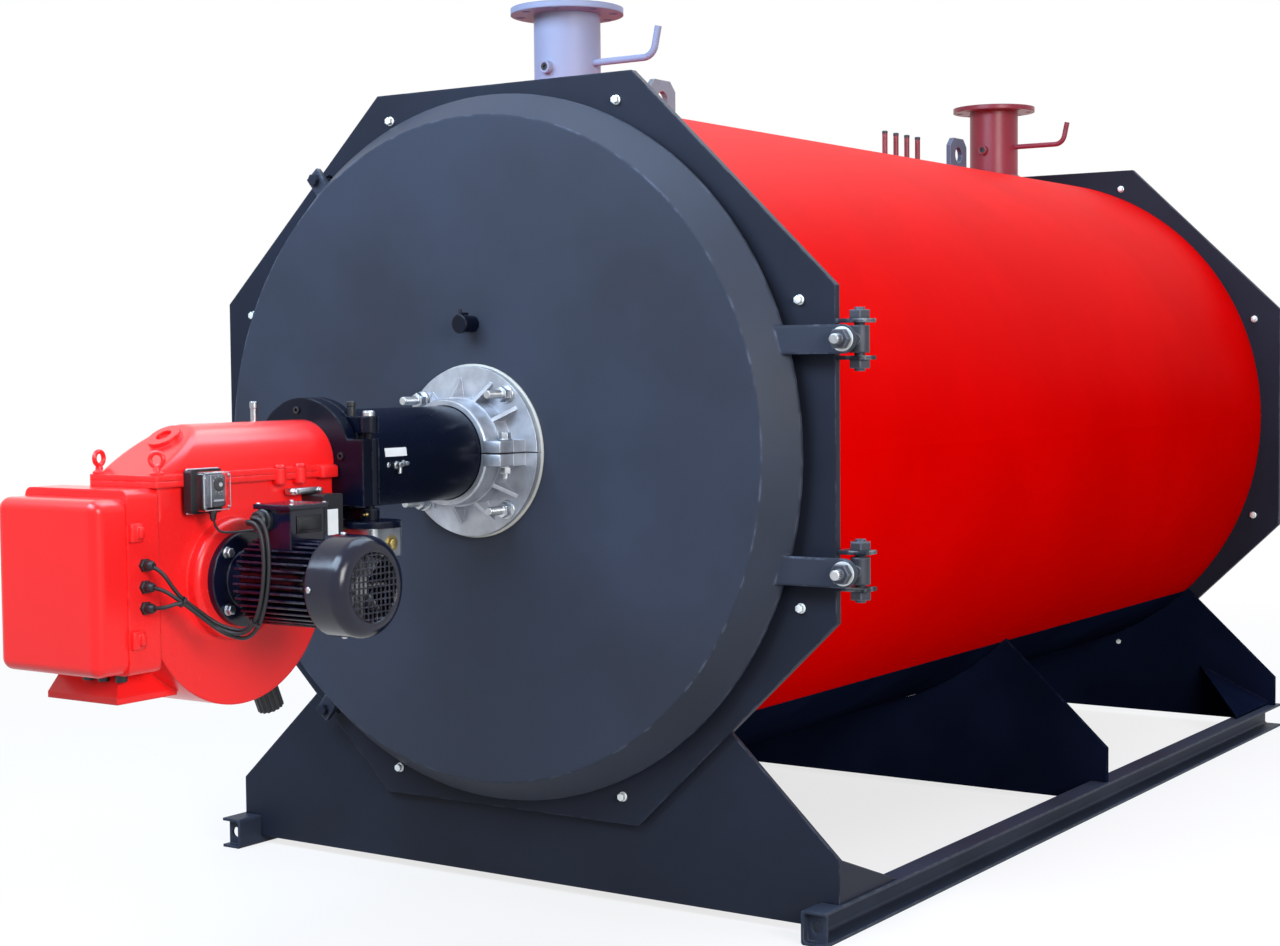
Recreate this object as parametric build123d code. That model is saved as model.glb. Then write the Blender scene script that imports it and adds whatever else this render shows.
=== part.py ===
# Industrial hot-water boiler with a swing-out burner.
# Working frame: the boiler axis is at z = 0 and the front plate's face at y = 0.
import math
import os

from build123d import *

os.makedirs("parts", exist_ok=True)

# Driving dimensions in millimetres
AXIS_HEIGHT = 1082.0
BODY_LENGTH = 3194.0
CLAD_R = 856.0
CLEAR = 0.3
REACH = BODY_LENGTH * 2.0

# Cladding, pressure shell and furnace
CLAD_T = 3.0
CLAD_END_ANGLE = 46.5
SHELL_R = CLAD_R - 30.0
SHELL_T = 10.0
OPENING_R = CLAD_R - 91.0
TUBE_PLATE_Y = 180.0
TUBE_PLATE_T = 20.0
FURNACE_R = CLAD_R * 0.467
FURNACE_T = 14.0
FURNACE_END_Y = BODY_LENGTH - 434.0

# Octagonal end plates
PLATE_HALF_W = CLAD_R + 64.0
PLATE_HALF_H = CLAD_R + 28.0
PLATE_TOP_HALF = PLATE_HALF_W * 0.4207
PLATE_SIDE_HALF = PLATE_HALF_W * 0.4054
PLATE_DEPTH = 20.0
PLATE_SKIN = 6.0

# Flue outlet at the back
FLUE_R = CLAD_R * 0.2336
FLUE_T = 6.0
FLUE_START_Y = BODY_LENGTH - 134.0
FLUE_END_Y = BODY_LENGTH + 206.0
FLUE_FLANGE_R = FLUE_R + 45.0
FLUE_FLANGE_T = 10.0

# Skid rails
RAIL_INNER_X = PLATE_HALF_W - 60.0
RAIL_FLANGE = 62.0
RAIL_HEIGHT = 78.0
RAIL_TOP_Z = RAIL_HEIGHT - AXIS_HEIGHT
RAIL_T = 7.0
RAIL_FRONT_Y = -60.0
RAIL_END_Y = BODY_LENGTH + 36.0
RAIL_END_HOLE_R = 14.0
RAIL_STOP_Y = RAIL_FRONT_Y + 18.0

# Supports, gussets and braces
SUPPORT_T = 12.0
SUPPORT_HALF_W = PLATE_HALF_W - 6.0
SUPPORT_SHOULDER_Z = RAIL_TOP_Z + 99.0
SUPPORT_BOTTOM_Z = RAIL_TOP_Z - 56.0
SUPPORT_NECK_X = CLAD_R * 0.6542
SUPPORT_NECK_Z = -CLAD_R * 0.6706
MID_SUPPORT_Y = BODY_LENGTH * 0.5056
GUSSET_LENGTH = 271.0
BRACE_T = 10.0
BRACE_RISE = 112.0
BRACE_IN_X = SUPPORT_HALF_W - 266.0
BRACE_LENGTH = 345.0

# Water nozzles with plate flanges
FLANGE_OD = 285.0
FLANGE_T = 16.0
FLANGE_PCD = 240.0
FLANGE_HOLES = 8
FLANGE_HOLE_R = 11.0
PIPE_R = 84.15
PIPE_WALL = 4.5
NOZZLE_TOP_Z = CLAD_R + 244.0
SUPPLY_Y = 284.0
RETURN_Y = BODY_LENGTH - 332.0
SOCKET_R = 16.0
SOCKET_BORE_R = 10.0
SOCKET_REACH = 16.0
SOCKET_Z = CLAD_R + 90.0
VENT_R = 8.6
VENT_Z = CLAD_R + 103.0
VENT_OUT_X = 260.0
VENT_LEAN = 16.0
VENT_TOP_Z = CLAD_R + 176.0
VENT_BEND_R = 34.0

# Sensor stubs and lifting lugs on the top line
STUB_R = 8.6
STUB_BORE_R = 5.0
STUB_TOP_Z = CLAD_R + 84.0
STUB_FIRST_Y = BODY_LENGTH - 1172.0
STUB_PITCH = 78.0
STUB_COUNT = 4
LUG_T = 16.0
LUG_LENGTH = 126.0
LUG_TOP_Z = CLAD_R + 112.0
LUG_CHAMFER = 26.0
LUG_HOLE_R = 26.0
LUG_HOLE_Z = CLAD_R + 56.0
FRONT_LUG_Y = 708.0
REAR_LUG_Y = BODY_LENGTH - 639.0

# Front door
DOOR_FACE_Y = -114.0
DOOR_FACE_R = CLAD_R - 58.0
DOOR_RIM_Y = -36.0
DOOR_RIM_R = CLAD_R - 2.0
DOOR_RIM_BACK_Y = -27.0
DOOR_SEAT_R = CLAD_R - 24.0
DOOR_BACK_Y = -8.0
DOOR_SKIN = 10.0
LINING_R = CLAD_R - 121.0
LINING_BACK_Y = 90.0
PEEP_R = 20.0
PEEP_BORE_R = 9.0
PEEP_Z = CLAD_R * 0.354
PEEP_LENGTH = 42.0

# Door hinges on the right
PIN_X = PLATE_HALF_W + 45.0
PIN_Y = 28.0
PIN_R = 12.0
PIN_HALF = 70.0
PIN_HEAD_R = 25.0
PIN_HEAD_T = 19.0
HINGE_Z = CLAD_R * 0.2967
EYE_R = 22.0
EYE_HALF = 30.0
EYE_FIT = 0.05
EAR_T = 9.0
EAR_GAP = 6.0
EAR_OUTER_X = PIN_X + 27.0
EAR_FRONT_Y = 2.0
EAR_BACK_Y = 54.0
STRAP_HALF = 32.0
STRAP_T = 16.0
STRAP_START_X = CLAD_R - 76.0
STRAP_END_X = PIN_X + 27.0
STRAP_BACK_Y = -36.0
BOLT_R = 11.0
BOLT_NUT_R = 24.0
BOLT_NUT_T = 20.0
BOLT_TIP_Y = -88.0

# Closing bolts on the left
CLOSE_ANGLE = 129.2
CLOSE_RING = DOOR_RIM_R + 24.0
CLOSE_TAB_IN = DOOR_RIM_R - 54.0
CLOSE_TAB_OUT = DOOR_RIM_R + 44.0
CLOSE_TAB_HALF = 22.0
CLOSE_BOLT_R = 8.0
CLOSE_HOLE_R = 16.0
CLOSE_HEAD_R = 15.0
CLOSE_HEAD_T = 13.0
CLOSE_TIP_Y = PLATE_SKIN * 2.5

# Burner mounting, blast tube and swing hinge
BLAST_R = 110.0
BLAST_WALL = 8.0
BLAST_TIP_Y = 190.0
BLAST_START_Y = -670.0
GASKET_T = 4.0
GASKET_R = 208.0
MOUNT_R = 203.0
MOUNT_T = 16.0
MOUNT_HUB_R = 130.0
MOUNT_HUB_Y = -178.0
MOUNT_SPLIT = 3.0
MOUNT_RIB_ANGLES = (36.0, 67.0, 98.0, 129.0)
MOUNT_RIB_T = 10.0
MOUNT_LUG_X = 168.0
MOUNT_LUG_H = 30.0
MOUNT_HOLE_R = 9.0
MOUNT_HOLE_RING = 178.0
MOUNT_HOLE_ANGLES = (50.0, 141.0)
RING_R = 138.0
FIXED_RING_T = 22.0
SWING_RING_FRONT_Y = -706.0
SWING_RING_BACK_Y = -676.0
SWING_BORE_R = 82.0
POST_X = 152.0
POST_Y = -662.0
POST_R = 10.0
POST_TOP_Z = 106.0
POST_FIT = 0.05
KNUCKLE_R = 21.0
UPPER_KNUCKLE = (62.0, 98.0)
LOWER_KNUCKLE = (-125.0, -99.0)
SWING_KNUCKLE = (-92.0, 50.0)
KNUCKLE_GAP = 6.0
POST_CAP_R = 13.0
VALVE_DISC_R = 66.0
VALVE_DISC_T = 14.0
VALVE_HALF_W = 52.0
VALVE_BOTTOM_Z = -200.0
VALVE_BORE_R = 30.0

# Burner housing
FAN_Y = -1005.0
FAN_Z = -220.0
VOLUTE_R = 252.0
VOLUTE_Y = FAN_Y + 19.0
VOLUTE_Z = FAN_Z - 7.0
HOUSE_HALF_W = 84.0
HOUSE_FRONT_Y = -1205.0
HOUSE_BACK_Y = -706.0
HOUSE_ROUND = 14.0
BOSS_R = 124.0
BOSS_X = 112.0
BOSS_ROUND = 12.0
SPLIT_Z = -16.0
LIP_HALF_W = 96.0
LIP_FRONT_Y = -1218.0
LIP_T = 12.0
LIP_ROUND = 12.0
NECK_BOTTOM_Z = -106.0
NECK_DEPTH = 60.0
COVER_TOP_Z = 91.0
COVER_HALF_W = 90.0
COVER_ROUND = 22.0
SLOPE_TOP_Y = -1052.0
SLOPE_FOOT_Y = -1210.0
PORT_R = 35.0
PORT_BORE_R = 17.0
PORT_HEIGHT = 10.0
PORT_SHARE = 0.70
FOOT_LEFT_X = -160.0
FOOT_RIGHT_X = 40.0
FOOT_FRONT_Y = -1275.0
FOOT_BACK_Y = -1120.0
FOOT_BOTTOM_Z = -446.0
FOOT_RIM_T = 12.0
FOOT_TOP_Z = -396.0
FOOT_TAPER = 34.0
WEB_SHARE = 0.6

# Control box on the burner's front
BOX_LEFT_X = -202.0
BOX_RIGHT_X = 90.0
BOX_TOP_Z = -28.0
BOX_BOTTOM_Z = -386.0
BOX_FRONT_Y = -1285.0
BOX_ROUND = 18.0
LID_INSET = 3.0
LID_DROP = 16.0
LID_FRONT_Y = -1362.0
LID_ROUND = 22.0
LID_CORNER = 24.0

# Fan motor on the burner's right side
MOTOR_FLANGE_R = 96.0
MOTOR_FLANGE_T = 16.0
MOTOR_NECK = 44.0
MOTOR_NECK_R = 58.0
MOTOR_BODY_R = 68.0
MOTOR_FIN_R = 87.0
MOTOR_FIN_T = 4.0
MOTOR_FINS = 36
MOTOR_BODY_END_X = 396.0
COWL_START_X = 374.0
COWL_END_X = 462.0
COWL_R = 100.0
COWL_T = 3.0
COWL_ROUND = 26.0
GRILLE_R = 68.0
GRILLE_BARS = 11
GRILLE_BAR = 3.0
TBOX_LEFT_X = 200.0
TBOX_RIGHT_X = 300.0
TBOX_HALF_Y = 55.0
TBOX_TOP_Z = -64.0
TBOX_LID_T = 10.0
TBOX_LIP = 7.0

# Small burner fittings
SERVO_X = 62.0
SERVO_FRONT_Y = -800.0
SERVO_BACK_Y = -741.0
SERVO_TOP_Z = -62.0
SERVO_BOTTOM_Z = -148.0
SWITCH_FRONT_Y = -1144.0
SWITCH_BACK_Y = -1060.0
SWITCH_TOP_Z = 5.0
SWITCH_BOTTOM_Z = -82.0
SWITCH_BASE_X = 20.0
SWITCH_COVER_X = 28.0
SWITCH_INSET = 8.0
SWITCH_ROUND = 8.0
KNOB_R = 28.0
KNOB_LENGTH = 52.0
KNOB_ANGLE = -66.6
KNOB_X = 48.0
KNOB_FLUTES = 16
KNOB_FLUTE_R = 3.0

# Leads clipped along the burner
LEAD_R = 4.0
SWITCH_LEAD_R = 2.5
ROUND_SHARE = 0.45

MID_X = (RAIL_INNER_X + RAIL_FLANGE - EAR_OUTER_X) / 2.0
MID_Y = -(LID_FRONT_Y + FLUE_END_Y) / 2.0


def save(name, shape):
    placed = Pos(MID_X, MID_Y, AXIS_HEIGHT) * shape
    export_step(placed, "parts/" + name + ".step")


def box_between(x0, x1, y0, y1, z0, z1):
    centre = Pos((x0 + x1) / 2.0, (y0 + y1) / 2.0, (z0 + z1) / 2.0)
    return centre * Box(abs(x1 - x0), abs(y1 - y0), abs(z1 - z0))


def rod_y(x, z, r, y0, y1):
    return Pos(x, (y0 + y1) / 2.0, z) * Rot(90, 0, 0) * Cylinder(r, abs(y1 - y0))


def rod_x(y, z, r, x0, x1):
    return Pos((x0 + x1) / 2.0, y, z) * Rot(0, 90, 0) * Cylinder(r, abs(x1 - x0))


def rod_z(x, y, r, z0, z1):
    return Pos(x, y, (z0 + z1) / 2.0) * Cylinder(r, abs(z1 - z0))


def ring_y(x, z, outer, inner, y0, y1):
    return rod_y(x, z, outer, y0, y1) - rod_y(x, z, inner, y0, y1)


def slab_y(points, y0, y1):
    # A flat outline in x and z, given its thickness from y0 to y1.
    face = make_face(Polyline(*[Vector(x, y0, z) for x, z in points], close=True))
    return extrude(face, amount=y1 - y0, dir=Vector(0, 1, 0))


def slab_x(points, x0, x1):
    # A flat outline in y and z, given its thickness from x0 to x1.
    face = make_face(Polyline(*[Vector(x0, y, z) for y, z in points], close=True))
    return extrude(face, amount=x1 - x0, dir=Vector(1, 0, 0))


def turned_y(points):
    # A body of revolution about the boiler axis from radius and y pairs.
    face = make_face(Polyline(*[Vector(r, y, 0) for r, y in points], close=True))
    return revolve(face, axis=Axis.Y, revolution_arc=360)


# End plates: octagonal pans with a turned-back rim
def octagon(inset):
    w = PLATE_HALF_W - inset
    h = PLATE_HALF_H - inset
    a = PLATE_TOP_HALF - inset * math.tan(math.radians(22.5))
    b = PLATE_SIDE_HALF - inset * math.tan(math.radians(22.5))
    right = [(a, h), (w, b), (w, -b), (a, -h)]
    return right + [(-x, z) for x, z in reversed(right)]


def pan(y0, opening):
    body = slab_y(octagon(0.0), y0, y0 + PLATE_DEPTH)
    body -= slab_y(octagon(PLATE_SKIN), y0 + PLATE_SKIN, y0 + PLATE_DEPTH)
    return body - rod_y(0, 0, opening, y0 - 1.0, y0 + PLATE_DEPTH)


def polar(r, degrees):
    a = math.radians(degrees)
    return r * math.cos(a), r * math.sin(a)


def front_plate():
    plate = pan(0.0, OPENING_R)
    for side in (-1, 1):
        x, z = polar(CLOSE_RING, side * CLOSE_ANGLE)
        plate -= rod_y(x, z, CLOSE_HOLE_R, -1.0, PLATE_DEPTH)
    return plate


# Shells
def top_holes(body, r):
    for y in (SUPPLY_Y, RETURN_Y):
        body -= rod_z(0, y, PIPE_R + r, 0.0, LUG_TOP_Z)
    for i in range(STUB_COUNT):
        body -= rod_z(0, STUB_FIRST_Y + i * STUB_PITCH, STUB_R + r, 0.0, LUG_TOP_Z)
    return body


def lug_slots(body):
    for y in (FRONT_LUG_Y, REAR_LUG_Y):
        half = LUG_LENGTH / 2.0 + CLEAR
        wide = LUG_T / 2.0 + CLEAR
        body -= box_between(-wide, wide, y - half, y + half, 0.0, LUG_TOP_Z)
    return body


def outer_sheet():
    return ring_y(0, 0, CLAD_R, CLAD_R - CLAD_T, PLATE_SKIN, BODY_LENGTH)


def belly_sector():
    # The part of the round below the two long edges of the red sheet.
    x, z = polar(CLAD_R * 2.0, -CLAD_END_ANGLE)
    outline = [(0, 0), (x, z), (x, z * 2.0), (-x, z * 2.0), (-x, z)]
    return slab_y(outline, 0.0, BODY_LENGTH)


def cladding():
    return lug_slots(top_holes(outer_sheet(), CLEAR)) - belly_sector()


def belly_sheet():
    return outer_sheet() & belly_sector()


def pressure_shell():
    tube = ring_y(0, 0, SHELL_R, SHELL_R - SHELL_T, PLATE_SKIN, BODY_LENGTH)
    for y in (SUPPLY_Y, RETURN_Y):
        tube -= rod_z(0, y, PIPE_R - PIPE_WALL, 0.0, LUG_TOP_Z)
    return tube


def front_tube_plate():
    back = TUBE_PLATE_Y + TUBE_PLATE_T
    return ring_y(0, 0, SHELL_R - SHELL_T - CLEAR, FURNACE_R + CLEAR, TUBE_PLATE_Y, back)


def furnace_tube():
    body = rod_y(0, 0, FURNACE_R, TUBE_PLATE_Y, FURNACE_END_Y)
    return body - rod_y(0, 0, FURNACE_R - FURNACE_T, TUBE_PLATE_Y - 1.0, FURNACE_END_Y - FURNACE_T)


def flue_outlet():
    body = ring_y(0, 0, FLUE_R, FLUE_R - FLUE_T, FLUE_START_Y, FLUE_END_Y)
    start = BODY_LENGTH + PLATE_SKIN
    body += ring_y(0, 0, FLUE_FLANGE_R, FLUE_R - FLUE_T, start, start + FLUE_FLANGE_T)
    return body + ring_y(0, 0, FLUE_FLANGE_R, FLUE_R - FLUE_T, FLUE_END_Y - FLUE_FLANGE_T, FLUE_END_Y)


# Supports with the gussets that stand on the rails
def support_plate(y0):
    rail = RAIL_INNER_X - CLEAR
    right = [(SUPPORT_NECK_X, SUPPORT_NECK_Z), (SUPPORT_HALF_W, SUPPORT_SHOULDER_Z)]
    right += [(SUPPORT_HALF_W, RAIL_TOP_Z), (rail, RAIL_TOP_Z), (rail, SUPPORT_BOTTOM_Z)]
    outline = right + [(-x, z) for x, z in reversed(right)]
    return slab_y(outline, y0, y0 + SUPPORT_T) - rod_y(0, 0, CLAD_R + CLEAR, 0.0, REACH)


def gussets(y_start, y_end):
    shape = [(y_start, RAIL_TOP_Z), (y_end, RAIL_TOP_Z), (y_start, SUPPORT_SHOULDER_Z)]
    outer = SUPPORT_HALF_W
    inner = SUPPORT_HALF_W - SUPPORT_T
    return slab_x(shape, inner, outer) + slab_x(shape, -outer, -inner)


def front_support():
    back = PLATE_DEPTH + SUPPORT_T
    return support_plate(PLATE_DEPTH) + gussets(back, back + GUSSET_LENGTH)


def rear_support():
    front = BODY_LENGTH - SUPPORT_T
    return support_plate(front) + brace(front, 1) + brace(front, -1)


def brace(y, side):
    # A sloping three-cornered plate from the support's face down to the rail.
    foot = side * (RAIL_INNER_X + RAIL_FLANGE / 2.0)
    high = Vector(side * BRACE_IN_X, y, RAIL_TOP_Z + BRACE_RISE)
    corners = [high, Vector(foot, y, RAIL_TOP_Z), Vector(foot, y - BRACE_LENGTH, RAIL_TOP_Z)]
    return extrude(make_face(Polyline(*corners, close=True)), amount=BRACE_T, dir=Vector(0, 0, 1))


def rail(side):
    x0 = RAIL_INNER_X
    x1 = RAIL_INNER_X + RAIL_FLANGE
    z0 = -AXIS_HEIGHT
    body = box_between(x0, x1, RAIL_FRONT_Y, RAIL_END_Y, z0, RAIL_TOP_Z)
    hollow = box_between(x0 + RAIL_T, x1, RAIL_FRONT_Y, RAIL_END_Y, z0 + RAIL_T, RAIL_TOP_Z - RAIL_T)
    inner = hollow.edges().filter_by(Axis.Y).group_by(Axis.X)[0]
    body -= fillet(inner, RAIL_T)
    outer = body.edges().filter_by(Axis.Y).group_by(Axis.X)[0]
    body = fillet(outer, RAIL_T)
    middle = z0 + RAIL_HEIGHT / 2.0
    stop = box_between(x0, x1 - RAIL_T, RAIL_STOP_Y, RAIL_STOP_Y + RAIL_T, z0 + RAIL_T, RAIL_TOP_Z - RAIL_T)
    stop -= rod_y(x0 + RAIL_FLANGE / 2.0, middle, RAIL_END_HOLE_R, RAIL_FRONT_Y, RAIL_STOP_Y + RAIL_T * 2.0)
    body += stop
    return body if side > 0 else mirror(body, about=Plane.YZ)


# Water nozzles
def vent_path(y):
    start = Vector(PIPE_R - PIPE_WALL, y, VENT_Z)
    corner = Vector(VENT_OUT_X, y, VENT_Z)
    top = Vector(VENT_OUT_X + VENT_LEAN, y, VENT_TOP_Z)
    return FilletPolyline(start, corner, top, radius=VENT_BEND_R)


def nozzle(y):
    bottom = SHELL_R - SHELL_T
    body = rod_z(0, y, PIPE_R, bottom - SHELL_T, NOZZLE_TOP_Z)
    body -= rod_y(0, 0, SHELL_R + CLEAR, 0.0, REACH)
    body += rod_z(0, y, FLANGE_OD / 2.0, NOZZLE_TOP_Z - FLANGE_T, NOZZLE_TOP_Z)
    body += rod_y(0, SOCKET_Z, SOCKET_R, y - PIPE_R - SOCKET_REACH, y)
    path = vent_path(y)
    profile = Plane(origin=path @ 0, z_dir=path % 0) * Circle(VENT_R)
    body += sweep(profile, path=path)
    body -= rod_z(0, y, PIPE_R - PIPE_WALL, 0.0, NOZZLE_TOP_Z)
    body -= rod_y(0, SOCKET_Z, SOCKET_BORE_R, y - PIPE_R - SOCKET_REACH - 1.0, y)
    for i in range(FLANGE_HOLES):
        x, dy = polar(FLANGE_PCD / 2.0, 360.0 * (i + 0.5) / FLANGE_HOLES)
        body -= rod_z(x, y + dy, FLANGE_HOLE_R, NOZZLE_TOP_Z - FLANGE_T - 1.0, NOZZLE_TOP_Z + 1.0)
    return body


def sensor_stubs():
    body = Part()
    for i in range(STUB_COUNT):
        y = STUB_FIRST_Y + i * STUB_PITCH
        stub = rod_z(0, y, STUB_R, SHELL_R - SHELL_T, STUB_TOP_Z)
        stub -= rod_y(0, 0, SHELL_R + CLEAR, 0.0, REACH)
        body += stub - rod_z(0, y, STUB_BORE_R, CLAD_R, STUB_TOP_Z)
    return body


def lifting_lug(y):
    half = LUG_LENGTH / 2.0
    low = SHELL_R - SHELL_T
    top = LUG_TOP_Z
    shape = [(y - half, low), (y - half, top - LUG_CHAMFER), (y - half + LUG_CHAMFER, top)]
    shape += [(2.0 * y - a, z) for a, z in reversed(shape)]
    body = slab_x(shape, -LUG_T / 2.0, LUG_T / 2.0)
    body -= rod_y(0, 0, SHELL_R + CLEAR, 0.0, REACH)
    return body - rod_x(y, LUG_HOLE_Z, LUG_HOLE_R, -LUG_T, LUG_T)


# Front door, its straps and closing tabs
def strap(z):
    middle = STRAP_END_X - STRAP_HALF
    front = STRAP_BACK_Y - STRAP_T
    body = box_between(STRAP_START_X, middle, front, STRAP_BACK_Y, z - STRAP_HALF, z + STRAP_HALF)
    body += rod_y(middle, z, STRAP_HALF, front, STRAP_BACK_Y)
    return body - rod_y(PIN_X, z, BOLT_R + CLEAR, STRAP_BACK_Y - STRAP_T, STRAP_BACK_Y)


def closing_tab(side):
    angle = side * CLOSE_ANGLE
    x, z = polar(CLOSE_RING, angle)
    y1 = DOOR_RIM_Y
    body = box_between(CLOSE_TAB_IN, CLOSE_TAB_OUT, y1 - STRAP_T, y1, -CLOSE_TAB_HALF, CLOSE_TAB_HALF)
    body = Rot(0, -angle, 0) * body
    return body - rod_y(x, z, CLOSE_BOLT_R + CLEAR, y1 - STRAP_T, y1)


def front_door():
    outer = [(0, DOOR_FACE_Y), (DOOR_FACE_R, DOOR_FACE_Y), (DOOR_RIM_R, DOOR_RIM_Y)]
    outer += [(DOOR_RIM_R, DOOR_RIM_BACK_Y), (DOOR_SEAT_R, DOOR_RIM_BACK_Y), (DOOR_SEAT_R, DOOR_BACK_Y)]
    inner = DOOR_FACE_Y + DOOR_SKIN
    outer += [(LINING_R + CLEAR, DOOR_BACK_Y), (LINING_R + CLEAR, inner), (0, inner)]
    body = turned_y(outer)
    for side in (-1, 1):
        body += strap(side * HINGE_Z)
        body += closing_tab(side)
    body -= rod_y(0, 0, BLAST_R + CLEAR, DOOR_FACE_Y - 1.0, 0.0)
    return body - rod_y(0, PEEP_Z, PEEP_BORE_R, DOOR_FACE_Y - 1.0, 0.0)


def door_lining():
    body = ring_y(0, 0, LINING_R, BLAST_R + CLEAR, DOOR_FACE_Y + DOOR_SKIN, LINING_BACK_Y)
    return body - rod_y(0, PEEP_Z, PEEP_BORE_R, DOOR_FACE_Y, REACH)


def peep_stub():
    return ring_y(0, PEEP_Z, PEEP_R, PEEP_BORE_R, DOOR_FACE_Y - PEEP_LENGTH, DOOR_FACE_Y)


# Hinges: two ears on the plate, a pin, and an eye bolt on the door
def hinge_bracket(z):
    body = Part()
    for side in (-1, 1):
        z0 = z + side * (EYE_HALF + EAR_GAP)
        ear = box_between(PLATE_HALF_W, EAR_OUTER_X, EAR_FRONT_Y, EAR_BACK_Y, z0, z0 + side * EAR_T)
        body += ear - rod_z(PIN_X, PIN_Y, PIN_R + CLEAR, z - PIN_HALF, z + PIN_HALF)
    return body


def hinge_pin(z):
    body = rod_z(PIN_X, PIN_Y, PIN_R, z - PIN_HALF, z + PIN_HALF)
    low = z - EYE_HALF - EAR_GAP - EAR_T
    high = z + EYE_HALF + EAR_GAP + EAR_T
    body += hex_z(PIN_X, PIN_Y, PIN_HEAD_R, high, high + PIN_HEAD_T)
    return body + hex_z(PIN_X, PIN_Y, PIN_HEAD_R, low - PIN_HEAD_T, low)


def hex_z(x, y, r, z0, z1):
    return Pos(x, y, z0) * extrude(RegularPolygon(r, 6), amount=z1 - z0)


def hex_y(x, z, r, y0, y1):
    return Pos(x, y1, z) * Rot(90, 0, 0) * extrude(RegularPolygon(r, 6), amount=y1 - y0)


def eye_bolt(z):
    body = rod_z(PIN_X, PIN_Y, EYE_R, z - EYE_HALF, z + EYE_HALF)
    body += rod_y(PIN_X, z, BOLT_R, BOLT_TIP_Y, PIN_Y)
    front = STRAP_BACK_Y - STRAP_T
    body += hex_y(PIN_X, z, BOLT_NUT_R, front - BOLT_NUT_T, front)
    return body - rod_z(PIN_X, PIN_Y, PIN_R + EYE_FIT, z - EYE_HALF, z + EYE_HALF)


def closing_bolt(side):
    x, z = polar(CLOSE_RING, side * CLOSE_ANGLE)
    front = DOOR_RIM_Y - STRAP_T
    body = rod_y(x, z, CLOSE_BOLT_R, front, CLOSE_TIP_Y)
    return body + hex_y(x, z, CLOSE_HEAD_R, front - CLOSE_HEAD_T, front)


# Burner mounting on the door
def gasket():
    return ring_y(0, 0, GASKET_R, BLAST_R + CLEAR, DOOR_FACE_Y - GASKET_T, DOOR_FACE_Y)


def mount_rib(angle):
    back = DOOR_FACE_Y - GASKET_T - MOUNT_T
    shape = [(BLAST_R + CLEAR, back), (MOUNT_HOLE_RING, back), (MOUNT_HUB_R, MOUNT_HUB_Y)]
    shape += [(BLAST_R + CLEAR, MOUNT_HUB_Y)]
    face = make_face(Polyline(*[Vector(r, y, -MOUNT_RIB_T / 2.0) for r, y in shape], close=True))
    rib = extrude(face, amount=MOUNT_RIB_T, dir=Vector(0, 0, 1))
    return Rot(0, -angle, 0) * rib


def mount_half(side):
    front = DOOR_FACE_Y - GASKET_T
    body = ring_y(0, 0, MOUNT_R, BLAST_R + CLEAR, front - MOUNT_T, front)
    body += ring_y(0, 0, MOUNT_HUB_R, BLAST_R + CLEAR, MOUNT_HUB_Y, front)
    for angle in MOUNT_RIB_ANGLES:
        body += mount_rib(side * angle)
    for ear in (-1, 1):
        lug_in = ear * (MOUNT_HUB_R - MOUNT_RIB_T)
        body += box_between(lug_in, ear * MOUNT_LUG_X, MOUNT_HUB_Y, front, 0.0, side * MOUNT_LUG_H)
    body -= rod_y(0, 0, BLAST_R + CLEAR, MOUNT_HUB_Y - 1.0, front + 1.0)
    for angle in MOUNT_HOLE_ANGLES:
        x, z = polar(MOUNT_HOLE_RING, side * angle)
        body -= rod_y(x, z, MOUNT_HOLE_R, front - MOUNT_T - 1.0, front + 1.0)
    keep = box_between(-REACH, REACH, -REACH, REACH, side * MOUNT_SPLIT / 2.0, side * REACH)
    return body & keep


def blast_tube():
    # The tube with the fixed ring and its two hinge knuckles.
    back = BLAST_START_Y + FIXED_RING_T
    body = rod_y(0, 0, BLAST_R, BLAST_START_Y, BLAST_TIP_Y)
    body += rod_y(0, 0, RING_R, BLAST_START_Y, back)
    low = SWING_KNUCKLE[0] - KNUCKLE_GAP
    high = SWING_KNUCKLE[1] + KNUCKLE_GAP
    body -= rod_z(POST_X, POST_Y, KNUCKLE_R + KNUCKLE_GAP, low, high)
    for span in (UPPER_KNUCKLE, LOWER_KNUCKLE):
        body += box_between(0.0, POST_X, BLAST_START_Y, back, span[0], span[1])
        body += rod_z(POST_X, POST_Y, KNUCKLE_R, span[0], span[1])
        body -= rod_z(POST_X, POST_Y, POST_R + CLEAR, span[0] - 1.0, span[1] + 1.0)
    return body - rod_y(0, 0, BLAST_R - BLAST_WALL, BLAST_START_Y - 1.0, BLAST_TIP_Y + 1.0)


def hinge_post():
    body = rod_z(POST_X, POST_Y, POST_R, LOWER_KNUCKLE[0], POST_TOP_Z)
    return body + rod_z(POST_X, POST_Y, POST_CAP_R, UPPER_KNUCKLE[1], POST_TOP_Z)


def valve_disc():
    top = LOWER_KNUCKLE[0]
    return rod_z(POST_X, POST_Y, VALVE_DISC_R, top - VALVE_DISC_T, top)


def gas_valve():
    top = LOWER_KNUCKLE[0] - VALVE_DISC_T
    half = VALVE_HALF_W
    body = box_between(POST_X - half, POST_X + half, POST_Y - half, POST_Y + half, VALVE_BOTTOM_Z, top)
    body = fillet(body.edges().filter_by(Axis.Z), half / 3.0)
    return body - rod_z(POST_X, POST_Y, VALVE_BORE_R, VALVE_BOTTOM_Z - 1.0, VALVE_BOTTOM_Z + VALVE_BORE_R)


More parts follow.
